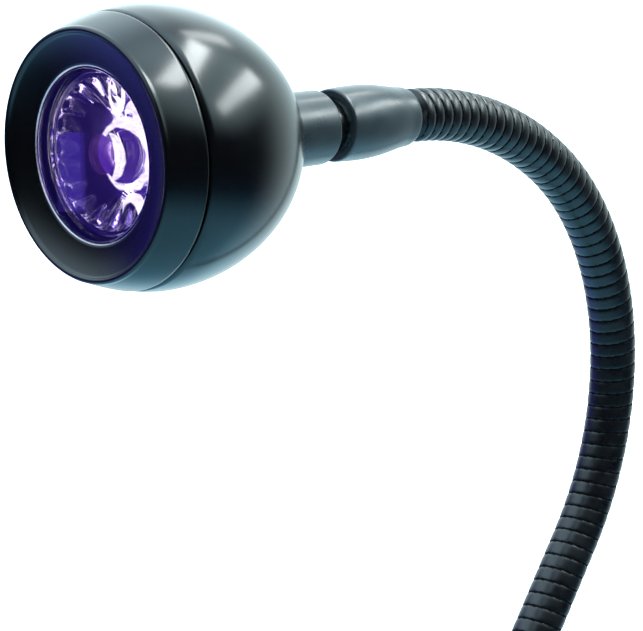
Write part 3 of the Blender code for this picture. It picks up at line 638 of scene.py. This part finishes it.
# The glows of the window and the optic, and the stronger ones of the dimple floor and the pocket, are
# painted light of the lamp.
WINDOW_GLASS = clear_plastic("window_glass", 0.012, (0.97, 0.93, 1.0))
OPTIC_PLASTIC = clear_plastic("optic_plastic", 0.012, OPTIC_TINT)
DIMPLE_PAINTED_GLOW = clear_plastic("dimple_painted_glow", 0.04, (0.8, 0.5, 0.9), (0.6, 0.1, 1.0), 0.12)
POCKET_PAINTED_GLOW = clear_plastic("pocket_painted_glow", 0.2, OPTIC_TINT, (0.25, 0.1, 1.0))
PAINTED_HIGHLIGHTS_PLASTIC = painted_highlights()
PAINTED_GLINT_BEVEL = painted_glint_bevel()
# The LED's dome is the lamp itself; the glows of the board and the holder are painted light from it.
LED_LIGHT = lit("led_light", (0.85, 0.72, 1.0), 1.6)
BOARD_PAINTED_LIGHT = lit("board_painted_light", (0.2, 0.08, 0.9), 0.42, (0.01, 0.005, 0.05), 9 * MM)
HOLDER_PAINTED_LIGHT = lit("holder_painted_light", (0.1, 0.06, 0.6), 0.08, (0.004, 0.003, 0.02))


# ---------------- lamp head


def bezel():
    """Front ring: rounded lip, faintly bulged band, dished face round the lens and threaded spigot."""
    seam = depth(SHELL_FRONT) - 0.5 * MM
    rim, at_seam, lip = 24 * MM, 26.4 * MM, 0.65 * MM
    band_bulge, seam_chamfer, seam_setback = 0.14 * MM, 0.34 * MM, 0.3 * MM
    rebate, rebate_depth = 25.0 * MM, seam - 0.8 * MM
    spigot, spigot_bore, spigot_end = 23.0 * MM, 20.6 * MM, depth(SPIGOT_BACK)
    lens_bore = LENS_RADIUS + 0.3 * MM
    lens_front = depth(span("lens_window", 0)[0])
    flange_bore, flange_front = 18.9 * MM, lens_front + 1.6 * MM
    bevel, bevel_lift, bevel_foot, dish = 0.2 * MM, 0.16 * MM, lens_front + 0.1 * MM, 0.16 * MM
    lip_start, lip_turn = math.radians(-75), math.radians(165)
    outline = []
    for step in range(13):
        turn = lip_start + lip_turn * step / 12
        outline.append((rim - lip + lip * math.sin(turn), lip - lip * math.cos(turn)))
    for step in range(1, 17):
        share = step / 16
        reach = rim + (at_seam - rim) * share + band_bulge * 4 * share * (1 - share)
        outline.append((reach, lip + (seam - seam_setback - lip) * share))
    outline.append((at_seam - seam_chamfer, seam))
    inner = [
        (rebate, seam, 0.1 * MM),
        (rebate, rebate_depth),
        (spigot, rebate_depth),
        (spigot, spigot_end, 0.3 * MM),
        (spigot_bore, spigot_end, 0.2 * MM),
        (spigot_bore, seam),
        (flange_bore, seam),
        (flange_bore, flange_front),
        (lens_bore, flange_front),
    ]
    outline += section(inner)
    outline.append((lens_bore, bevel_foot))
    bevel_top = Vector((lens_bore + bevel, lens_front - bevel_lift))
    for step in range(13):
        share = step / 12
        sag = dish * 4 * share * (1 - share)
        outline.append(bevel_top.lerp(outline[0], share) + Vector((sag, sag)))
    mesh = turned("bezel", outline[:-1], HEAD_PLACE, 192)
    piece = add_mesh("bezel", mesh, BLACK, "lamp_head", ["bezel_ring"])
    # The bevel round the lens bore carries the painted glint of the lamp's light.
    mesh.materials.append(PAINTED_GLINT_BEVEL)
    for face in mesh.polygons:
        reach = math.hypot(face.center.y, face.center.z - HEAD_Z)
        if depth(face.center.x) < bevel_foot and reach < lens_bore + bevel:
            face.material_index = 1
    even_normals(piece)


def rear_bowl():
    """Rear bowl of the head: half an ellipsoid outside, hollow inside, with a small chamfer at the seam."""
    front, seat = depth(SHELL_FRONT), depth(SHELL_BACK)
    widest_depth, length = 16 * MM, 33 * MM
    wall, hole, chamfer = 2.3 * MM, 5.3 * MM, 0.25 * MM
    outline = [(math.sqrt(WIDEST**2 - (widest_depth - front) ** 2) - chamfer, front)]
    for step in range(9):
        ahead = (widest_depth - front - chamfer) * (1 - step / 8)
        outline.append((math.sqrt(WIDEST**2 - ahead**2), widest_depth - ahead))
    seat_turn = math.asin((seat - widest_depth) / length)
    for step in range(1, 49):
        turn = seat_turn * step / 48
        outline.append((WIDEST * math.cos(turn), widest_depth + length * math.sin(turn)))
    outline.append((hole, seat))
    inner_radius, inner_length = WIDEST - wall, length - wall
    start, end = math.acos(hole / inner_radius), math.acos(BOWL_BORE / inner_radius)
    for step in range(25):
        turn = start + (end - start) * step / 24
        place = widest_depth + inner_length * math.sin(turn)
        outline.append((inner_radius * math.cos(turn), place))
    outline.append((BOWL_BORE, front))
    mesh = turned("rear_bowl", outline, HEAD_PLACE, 192)
    add_mesh("rear_bowl", mesh, BLACK, "lamp_head", ["head_shell"])


def gasket():
    """Thin rubber ring in the seam."""
    low, high, radius = span("seam_gasket", 0)
    round_edge = 0.15 * MM
    corners = [
        (radius, depth(low), round_edge),
        (radius, depth(high), round_edge),
        (BOWL_BORE, depth(high), round_edge),
        (BOWL_BORE, depth(low), round_edge),
    ]
    mesh = turned("gasket", section(corners), HEAD_PLACE)
    add_mesh("gasket", mesh, RUBBER, "lamp_head", ["seam_gasket"])


def window():
    """Clear window with a ground chamfer, and the flange that is held behind the bezel."""
    low, high, flange = span("lens_window", 0)
    front, back = depth(low), depth(high)
    chamfer, shoulder = 0.12 * MM, front + 1.9 * MM
    outline = [(0, front), (LENS_RADIUS - 2 * chamfer, front)]
    outline += section(
        [
            (LENS_RADIUS - chamfer, front),
            (LENS_RADIUS, front + chamfer, 0.05 * MM),
            (LENS_RADIUS, shoulder),
            (flange, shoulder, 0.1 * MM),
            (flange, back, 0.1 * MM),
            (flange - 1 * MM, back),
        ]
    )
    outline.append((0, back))
    mesh = turned("window", outline, HEAD_PLACE, 160)
    even_normals(add_mesh("window", mesh, WINDOW_GLASS, "lamp_head", ["lens_window"]))


def optic_ring(reach, height, cone_share=0.0):
    """Ring of the collimator, scalloped by the flutes from just down the cone to well down it."""
    flutes, flute_depth = 20, 0.7 * MM
    flute_full, flute_end = 0.125, 0.6
    around = flutes * 12
    points = []
    for index in range(around):
        angle = FULL_TURN * index / around
        across = math.sin(angle * flutes / 2)
        along = cone_share / flute_end
        scallop = max(0.0, 1 - across**2 - along**4)
        here = reach - flute_depth * scallop * min(1.0, cone_share / flute_full)
        points.append(HEAD_PLACE @ Vector((here * math.cos(angle), here * math.sin(angle), height)))
    return points


def optic():
    """Clear collimator: flat front, fluted cone that turns the light forwards, pocket over the emitter."""
    low, high, radius = span("collimator_lens", 0)
    front, back = depth(low), depth(high)
    chamfer, flange = 0.3 * MM, front + 1.6 * MM
    dimple, dimple_slope, dimple_floor = 3.8 * MM, 0.25 * MM, front + 0.6 * MM
    cone, cone_end, cone_curve = 14.6 * MM, 6.0 * MM, 1.6
    mouth, pocket, pocket_floor, crown = 5.5 * MM, 4.4 * MM, 11.4 * MM, 1.7 * MM
    rows = 48
    rings = [
        optic_ring(0, dimple_floor),
        optic_ring(dimple - dimple_slope, dimple_floor),
        optic_ring(dimple, front),
        optic_ring(radius - chamfer, front),
        optic_ring(radius, front + chamfer),
        optic_ring(radius, flange),
    ]
    for row in range(rows + 1):
        share = row / rows
        reach = cone_end + (cone - cone_end) * (1 - share**cone_curve)
        rings.append(optic_ring(reach, flange + (back - flange) * share, share))
    rings.append(optic_ring(mouth, back))
    for row in range(13):
        share = 1 - row / 12
        rings.append(optic_ring(pocket * share, pocket_floor + crown * (1 - share**2)))
    mesh = skin("optic", rings, closed=False)
    mesh.set_sharp_from_angle(angle=math.radians(40))
    add_mesh("optic", mesh, OPTIC_PLASTIC, "lamp_head", ["collimator_lens"])
    # The front carries the painted highlights; the dimple floor and the pocket carry a painted violet glow.
    for finish in (DIMPLE_PAINTED_GLOW, PAINTED_HIGHLIGHTS_PLASTIC, POCKET_PAINTED_GLOW):
        mesh.materials.append(finish)
    for face in mesh.polygons:
        reach = math.hypot(face.center.y, face.center.z - HEAD_Z)
        place = depth(face.center.x)
        if reach > dimple and place < front + chamfer / 3:
            face.material_index = 2
        elif pocket < reach < mouth and place > pocket_floor:
            face.material_index = 3
        elif reach < dimple and place < dimple_floor + chamfer:
            face.material_index = 1


def head():
    bezel()
    rear_bowl()
    gasket()
    window()
    optic()


# ---------------- neck


def sleeve(name, node, place, body):
    """Barrel-shaped sleeve, its big end at local Z = 0 and its small end over the hose."""
    length, big, small = 23 * MM, 7.8 * MM, 6.65 * MM
    hose_hole, hose_end = HOSE_TENON + 0.3 * MM, 7.5 * MM
    cable_hole, cable_end, nipple_end = 3.2 * MM, 7.0 * MM, 6.0 * MM
    swell, swell_pace, taper, rows = 0.5 * MM, 1.15, 1.8, 32
    rounding, corner_in, corner_down = 0.4 * MM, 0.12 * MM, 0.1 * MM
    outline = [(big - rounding - 0.05 * MM, 0), (big - corner_in, corner_down)]
    for row in range(rows + 1):
        share = row / rows
        bulge = swell * math.sin(math.pi * min(1.0, share * swell_pace))
        radius = big + (small - big) * share**taper + bulge
        outline.append((radius, rounding + (length - 2 * rounding) * share))
    outline += [(small - corner_in, length - corner_down), (small - rounding, length)]
    outline += section(
        [
            (hose_hole, length, 0.2 * MM),
            (hose_hole, hose_end),
            (cable_hole, cable_end),
            (cable_hole, nipple_end),
            (NIPPLE_HOLE, nipple_end),
            (NIPPLE_HOLE, 0),
        ]
    )
    mesh = turned(name, outline, place, 96)
    even_normals(add_mesh(name, mesh, NECK, body, [node]))


def neck():
    """Stub on the back of the head, dark ring in the groove and upper sleeve."""
    low, high, radius = span("neck_stub", 0)
    inside, shoulder, end = depth(low), depth(SHELL_BACK) + 0.3 * MM, depth(high)
    spigot, cable_hole, nipple_end = 5.0 * MM, 2.6 * MM, end - 5.5 * MM
    stub = section(
        [
            (spigot, inside),
            (spigot, shoulder),
            (radius, shoulder, 0.4 * MM),
            (radius, end, 0.5 * MM),
            (NIPPLE_HOLE, end, 0.2 * MM),
            (NIPPLE_HOLE, nipple_end),
            (cable_hole, nipple_end),
            (cable_hole, inside),
        ]
    )
    mesh = turned("stub", stub, HEAD_PLACE, 96)
    even_normals(add_mesh("stub", mesh, NECK, "lamp_head", ["neck_stub"]))
    low, high, radius = span("neck_ring", 0)
    ring = section(
        [
            (radius, depth(low), 0.3 * MM),
            (radius, depth(high), 0.3 * MM),
            (NIPPLE_HOLE, depth(high)),
            (NIPPLE_HOLE, depth(low)),
        ]
    )
    mesh = turned("groove_ring", ring, HEAD_PLACE, 96)
    add_mesh("groove_ring", mesh, BLACK, "lamp_head", ["neck_ring"])
    big_end = Matrix.Translation((0, 0, depth(span("neck_sleeve", 0)[0])))
    sleeve("upper_sleeve", "neck_sleeve", HEAD_PLACE @ big_end, "lamp_head")


# ---------------- gooseneck


def towards_neck(values, below):
    """A far value of the coil faded into its value at the neck, this far below the neck."""
    far, at_neck = values
    return far + (at_neck - far) * math.exp(-below / COIL_FADE)


def coil_turns():
    """Turns of the coil between the neck end and places below it, one place every COIL_STEP."""
    turns = [0.0]
    for index in range(int(HOSE_LENGTH / COIL_STEP) + 2):
        turns.append(turns[-1] + COIL_STEP / towards_neck(COIL_PITCH, index * COIL_STEP))
    return turns


COIL_TURNS = coil_turns()


def coil_phase(distance):
    """How many turns of the coil lie between the neck end and this place."""
    below = min(max(HOSE_LENGTH - distance, 0.0), HOSE_LENGTH) / COIL_STEP
    index = int(below)
    return COIL_TURNS[index] + (COIL_TURNS[index + 1] - COIL_TURNS[index]) * (below - index)


def ridge_to_groove(distance, angle):
    """0 on top of a ridge of the coil, 1 at the bottom of the groove next to it."""
    return abs(2 * ((coil_phase(distance) + angle / FULL_TURN) % 1.0) - 1)


def coil_surface(distance, angle):
    """Radius of the corrugated surface: rounded ridges with a narrow groove between turns."""
    below = max(HOSE_LENGTH - distance, 0.0)
    level = math.sqrt(1 - ridge_to_groove(distance, angle) ** towards_neck(COIL_FLATNESS, below))
    return COIL_RADIUS - towards_neck(COIL_DEPTH, below) * (1 - level)


def hose_ring(distance, radius=None):
    """Ring across the gooseneck: round if it has a radius, and else on the corrugated surface."""
    centre, direction = along_hose(distance)
    side = Vector((0, -1, 0))
    up = direction.cross(side)
    ring = []
    for index in range(HOSE_AROUND):
        angle = FULL_TURN * index / HOSE_AROUND
        reach = radius or coil_surface(distance, angle)
        ring.append(centre + (side * math.cos(angle) + up * math.sin(angle)) * reach)
    return ring


def hose_piece(number):
    """Gooseneck from the middle of one link to the middle of the next, across the joint between."""
    at_base, at_neck = number == 1, number == LINKS - 1
    link = HOSE_LENGTH / LINKS
    start = 0.0 if at_base else link * (number - 0.5)
    end = HOSE_LENGTH if at_neck else link * (number + 0.5)
    low = start - TENON[0][0] if at_base else start
    high = end + TENON[0][0] if at_neck else end
    rows = round((end - start) / COIL_SAMPLES)
    inner_rows = max(4, round((high - low) / (3 * MM)))
    nodes = [f"gooseneck_link_{number}"]
    rings = []
    if at_base:
        rings += [hose_ring(-past, radius) for past, radius in TENON]
    first = len(rings)
    rings += [hose_ring(start + (end - start) * row / rows) for row in range(rows + 1)]
    if at_neck:
        rings += [hose_ring(HOSE_LENGTH + past, radius) for past, radius in reversed(TENON)]
        nodes.append(f"gooseneck_link_{LINKS}")
    end_rings = ({0}, {len(rings) - 1})
    rings += [hose_ring(high + (low - high) * row / inner_rows, HOSE_BORE) for row in range(inner_rows + 1)]
    mesh = skin(f"hose_{number}_{number + 1}", rings)
    for edge in mesh.edges:
        edge.use_edge_sharp = {corner // HOSE_AROUND for corner in edge.vertices} in end_rings
    piece = add_mesh(f"gooseneck_{number}", mesh, HOSE_COAT, None, nodes)
    # Faces deep in a groove get the painted shade.
    mesh.materials.append(GROOVE_PAINTED_SHADE)
    for face in mesh.polygons:
        row, column = divmod(face.index, HOSE_AROUND)
        distance = start + (end - start) * (row - first + 0.5) / rows
        angle = FULL_TURN * (column + 0.5) / HOSE_AROUND
        if start < distance < end:
            face.material_index = int(ridge_to_groove(distance, angle) > GROOVE_STARTS)
    pivot = link * number
    along_hose(pivot - HOSE_BLEND)[0]
    along_hose(pivot + HOSE_BLEND)[0]
    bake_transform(piece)


# ---------------- base


def base_cover():
    """Round cover with a soft shoulder, four screw posts, and the holes for hose, button and socket."""
    wall, shoulder = 2 * MM, 6 * MM
    ceiling, above = BASE_TOP - BASE_ROOF, BASE_TOP + 1 * MM
    bend = shoulder - wall
    outline = [(0, ceiling)]
    for step in range(13):
        turn = math.radians(90) * step / 12
        reach = BASE_RADIUS - shoulder + bend * math.sin(turn)
        outline.append((reach, ceiling - bend * (1 - math.cos(turn))))
    outline += section([(BASE_RADIUS - wall, BASE_LOW), (BASE_RADIUS, BASE_LOW, 0.3 * MM)])
    for step in range(25):
        turn = math.radians(90) * step / 24
        reach = BASE_RADIUS - shoulder + shoulder * math.cos(turn)
        outline.append((reach, BASE_TOP - shoulder + shoulder * math.sin(turn)))
    outline.append((0, BASE_TOP))
    screws = [middle(f"base_screw_{number}")[:2] for number in range(1, 5)]
    post_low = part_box("ballast_disc")[1].z + 0.3 * MM
    post, screw_hole = 3.2 * MM, 1.8 * MM
    steps = [("UNION", peg(post, post_low, ceiling + 1 * MM, spot)) for spot in screws]
    steps += [("DIFFERENCE", peg(screw_hole, post_low - 1 * MM, ceiling, spot)) for spot in screws]
    steps.append(("DIFFERENCE", peg(NIPPLE_HOLE, ceiling - 1 * MM, above)))
    button = middle("power_button")[:2]
    steps.append(("DIFFERENCE", peg(BUTTON_HOLE, ceiling - 1 * MM, above, button)))
    reach, width, height = 8 * MM, 9.6 * MM, 3.9 * MM
    faces = [(-reach, 0, 0), (-reach, width, height), (reach, width, height), (reach, 0, 0)]
    steps.append(("DIFFERENCE", pill("socket_window", faces, middle("inlet_socket"))))
    mesh = carve("cover", turned("cover_blank", outline, segments=192), steps)
    return add_mesh("base_cover", mesh, BASE_COAT, "base_body", ["base_shell"])


def base_pad():
    """Rubber pad with shallow rings moulded into its underside."""
    low, high, radius = span("non_slip_pad", 2)
    outline = [(0, low)]
    first, ring_width, slope, groove, plain_edge = 3 * MM, 2.6 * MM, 0.3 * MM, 0.35 * MM, 4 * MM
    for number in range(int((radius - plain_edge) / ring_width / 2)):
        start = first + 2 * ring_width * number
        outline += [
            (start, low),
            (start + slope, low + groove),
            (start + ring_width - slope, low + groove),
            (start + ring_width, low),
        ]
    outline += section([(radius, low, 0.3 * MM), (radius, high, 0.2 * MM)])
    outline.append((0, high))
    mesh = turned("pad", outline, segments=160)
    return even_normals(add_mesh("base_pad", mesh, RUBBER, "base_body", ["non_slip_pad"]))


def base_button():
    """Push button with a finger dish, a flange under the roof and a stem, and the trim ring round it."""
    low, top, flange = span("power_button", 2)
    place = Matrix.Translation((middle("power_button").x, 0, 0))
    edge, stem, dish, dish_depth = 6.7 * MM, 2 * MM, 5.9 * MM, 0.3 * MM
    flange_top = BASE_TOP - BASE_ROOF - 0.3 * MM
    flange_low = flange_top - 1 * MM
    outline = [(0, top - dish_depth)]
    for step in range(1, 13):
        share = step / 12
        outline.append((dish * share, top - dish_depth * (1 - share**2)))
    outline += section([(edge, top, 0.5 * MM), (edge, flange_top)])
    outline += section([(flange, flange_top, 0.1 * MM), (flange, flange_low, 0.1 * MM)])
    outline += [(stem, flange_low), (stem, low), (0, low)]
    mesh = turned("button", outline, place, 96)
    even_normals(add_mesh("push_button", mesh, BLACK, "button", ["power_button"]))
    low, high, radius = span("button_ring", 2)
    corners = [
        (BUTTON_HOLE, low),
        (radius, low, 0.1 * MM),
        (radius - 0.2 * MM, high - 0.3 * MM, 0.15 * MM),
        (radius - 1.0 * MM, high, 0.2 * MM),
        (BUTTON_HOLE, high - 0.2 * MM, 0.1 * MM),
    ]
    mesh = turned("trim", section(corners), place)
    even_normals(add_mesh("button_trim", mesh, STEEL, "base_body", ["button_ring"]))


def base_socket():
    """Pressed steel shell of the power socket, open towards the rim."""
    low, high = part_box("inlet_socket")
    length, width, height = high - low
    wall, chamfer = 0.35 * MM, 0.1 * MM
    inner_width, inner_height = width - 2 * wall, height - 2 * wall
    back, front = -length / 2, length / 2
    faces = [
        (back, 0, 0),
        (back, width - 4 * chamfer, height - 4 * chamfer),
        (back + 2 * chamfer, width, height),
        (front - chamfer, width, height),
        (front, width - 2 * chamfer, height - 2 * chamfer),
        (front, inner_width + chamfer, inner_height + chamfer),
        (front - chamfer, inner_width, inner_height),
        (back + wall, inner_width, inner_height),
        (back + wall, 0, 0),
    ]
    mesh = pill("socket", faces, middle("inlet_socket"))
    even_normals(add_mesh("power_socket", mesh, STEEL, "base_body", ["inlet_socket"]))


def base():
    """Pieces of the base. The big ones stay out of reflections, where they would darken the head."""
    for piece in (base_cover(), base_pad(), NODES["ballast_disc"], NODES["bottom_plate"]):
        piece.visible_glossy = False
    base_button()
    base_socket()
    big_end = Matrix.Translation((0, 0, span("base_sleeve", 2)[0]))
    sleeve("lower_sleeve", "base_sleeve", big_end, "base_body")


# ---------------- CAD pieces kept as they are

KEPT = {
    "lens_retaining_ring": BLACK,
    "lens_holder": HOLDER_PAINTED_LIGHT,
    "led_board": BOARD_PAINTED_LIGHT,
    "board_screw_a": STEEL,
    "board_screw_b": STEEL,
    "led_package": CERAMIC,
    "led_dome": LED_LIGHT,
    "thermal_pad": RUBBER,
    "heat_sink": ALUMINIUM,
    "driver_board": BOARD,
    "driver_coil": IRON,
    "driver_capacitor": PLASTIC,
    "driver_chip": PLASTIC,
    "driver_pillar_a": STEEL,
    "driver_pillar_b": STEEL,
    "led_wire_red": RED_WIRE,
    "led_wire_black": BLACK_WIRE,
    "neck_nipple": STEEL,
    "neck_lock_nut": STEEL,
    "ballast_disc": IRON,
    "bottom_plate": PLATE,
    "base_nipple": STEEL,
    "base_washer": STEEL,
    "base_lock_nut": STEEL,
    "switch_body": PLASTIC,
    "inlet_tongue": PLASTIC,
    "inlet_board": BOARD,
    "inlet_lead": JACKET,
    **{f"base_screw_{number}": STEEL for number in range(1, 5)},
    **{f"cable_{number}": JACKET for number in range(1, LINKS + 1)},
}


def dress_kept_nodes():
    for node, finish in KEPT.items():
        mesh = NODES[node].data
        mesh.materials.clear()
        mesh.materials.append(finish)


# ---------------- studio


def heading(azimuth, elevation):
    """Unit direction out from the lamp: azimuth 0 is -Y and 90 is +X."""
    turn, lift = math.radians(azimuth), math.radians(elevation)
    return Vector((math.sin(turn) * math.cos(lift), -math.cos(turn) * math.cos(lift), math.sin(lift)))


def softbox(name, azimuth, elevation, width, height, radiance, colour):
    """Rectangular studio light that is this many degrees wide and high, seen from the lamp head."""
    data = bpy.data.lights.new(name, "AREA")
    data.shape = "RECTANGLE"
    data.size = 2 * SOFTBOX_DISTANCE * math.tan(math.radians(width / 2))
    data.size_y = 2 * SOFTBOX_DISTANCE * math.tan(math.radians(height / 2))
    data.energy = radiance * math.pi * data.size * data.size_y
    data.color = colour
    light = bpy.data.objects.new(name, data)
    bpy.context.scene.collection.objects.link(light)
    out = heading(azimuth, elevation)
    light.location = HEAD_CENTRE + out * SOFTBOX_DISTANCE
    light.rotation_mode = "QUATERNION"
    light.rotation_quaternion = out.to_track_quat("Z", "Y")


def floor():
    """Wide white floor, seen only from above."""
    mesh = bpy.data.meshes.new("floor")
    form = bmesh.new()
    bmesh.ops.create_grid(form, x_segments=1, y_segments=1, size=20)
    form.to_mesh(mesh)
    form.free()
    material = bpy.data.materials.new("floor")
    material.use_nodes = True
    nodes, links = material.node_tree.nodes, material.node_tree.links
    shader = nodes["Principled BSDF"]
    shader.inputs["Base Color"].default_value = (0.86, 0.87, 0.87, 1)
    shader.inputs["Roughness"].default_value = 0.9
    shader.inputs["Specular IOR Level"].default_value = 0.1
    shader.inputs["Emission Color"].default_value = (1, 1, 1, 1)
    shader.inputs["Emission Strength"].default_value = 0.7
    clear = nodes.new("ShaderNodeBsdfTransparent")
    side = nodes.new("ShaderNodeNewGeometry")
    mix = nodes.new("ShaderNodeMixShader")
    links.new(side.outputs["Backfacing"], mix.inputs["Fac"])
    links.new(shader.outputs["BSDF"], mix.inputs[1])
    links.new(clear.outputs["BSDF"], mix.inputs[2])
    links.new(mix.outputs["Shader"], nodes["Material Output"].inputs["Surface"])
    mesh.materials.append(material)
    ground = bpy.data.objects.new("floor", mesh)
    ground.location.z = -0.2 * MM
    ground.visible_glossy = False
    ground.visible_transmission = False
    bpy.context.scene.collection.objects.link(ground)


def soft_lobes(tree, dark, glows):
    """Background shader of soft round lobes, each round its own direction, on a dark ground."""
    nodes, links = tree.nodes, tree.links
    place = nodes.new("ShaderNodeTexCoord").outputs["Generated"]
    total = None
    for azimuth, elevation, full, none, colour in glows:
        dot = nodes.new("ShaderNodeVectorMath")
        dot.operation = "DOT_PRODUCT"
        dot.inputs[1].default_value = heading(azimuth, elevation)
        links.new(place, dot.inputs[0])
        share = nodes.new("ShaderNodeMapRange")
        share.interpolation_type = "SMOOTHSTEP"
        share.inputs["From Min"].default_value = math.cos(math.radians(none))
        share.inputs["From Max"].default_value = math.cos(math.radians(full))
        links.new(dot.outputs["Value"], share.inputs["Value"])
        added = nodes.new("ShaderNodeVectorMath")
        added.operation = "MULTIPLY_ADD"
        added.inputs[0].default_value = colour
        links.new(share.outputs["Result"], added.inputs[1])
        if total:
            links.new(total, added.inputs[2])
        else:
            added.inputs[2].default_value = dark
        total = added.outputs["Vector"]
    background = nodes.new("ShaderNodeBackground")
    links.new(total, background.inputs["Color"])
    return background.outputs["Background"]


def surroundings():
    """White to the camera, soft lobes for light and reflections, other lobes for rays through the lens."""
    world = bpy.data.worlds.new("studio")
    bpy.context.scene.world = world
    world.use_nodes = True
    tree = world.node_tree
    seen = tree.nodes["Background"]
    seen.inputs["Color"].default_value = (0.98, 0.985, 0.98, 1)
    path = tree.nodes.new("ShaderNodeLightPath")
    around = tree.nodes.new("ShaderNodeMixShader")
    tree.links.new(path.outputs["Is Transmission Ray"], around.inputs["Fac"])
    tree.links.new(soft_lobes(tree, STUDIO_DARK, GLOWS), around.inputs[1])
    tree.links.new(soft_lobes(tree, LENS_DARK, LENS_GLOWS), around.inputs[2])
    mix = tree.nodes.new("ShaderNodeMixShader")
    tree.links.new(path.outputs["Is Camera Ray"], mix.inputs["Fac"])
    tree.links.new(around.outputs["Shader"], mix.inputs[1])
    tree.links.new(seen.outputs["Background"], mix.inputs[2])
    tree.links.new(mix.outputs["Shader"], tree.nodes["World Output"].inputs["Surface"])


def camera():
    data = bpy.data.cameras.new("camera")
    data.lens = CAMERA_LENS
    data.sensor_width = 36
    data.clip_start = 0.01
    view = bpy.data.objects.new("camera", data)
    bpy.context.scene.collection.objects.link(view)
    back = heading(CAMERA_AZIMUTH, CAMERA_ELEVATION)
    right = Vector((0, 0, 1)).cross(back).normalized()
    up = back.cross(right)
    rim_centre = Vector((RIM_X, 0, HEAD_Z))
    across, above, ahead = RIM_IN_VIEW
    place = Matrix((right, up, back)).transposed().to_4x4()
    place.translation = rim_centre - right * across - up * above + back * ahead
    view.matrix_world = place
    bpy.context.scene.camera = view


def studio():
    floor()
    surroundings()
    for settings in SOFTBOXES:
        softbox(*settings)
    bpy.context.scene.view_settings.view_transform = "Standard"


head()
neck()
for joint_number in range(1, LINKS):
    hose_piece(joint_number)
base()
dress_kept_nodes()
studio()
camera()
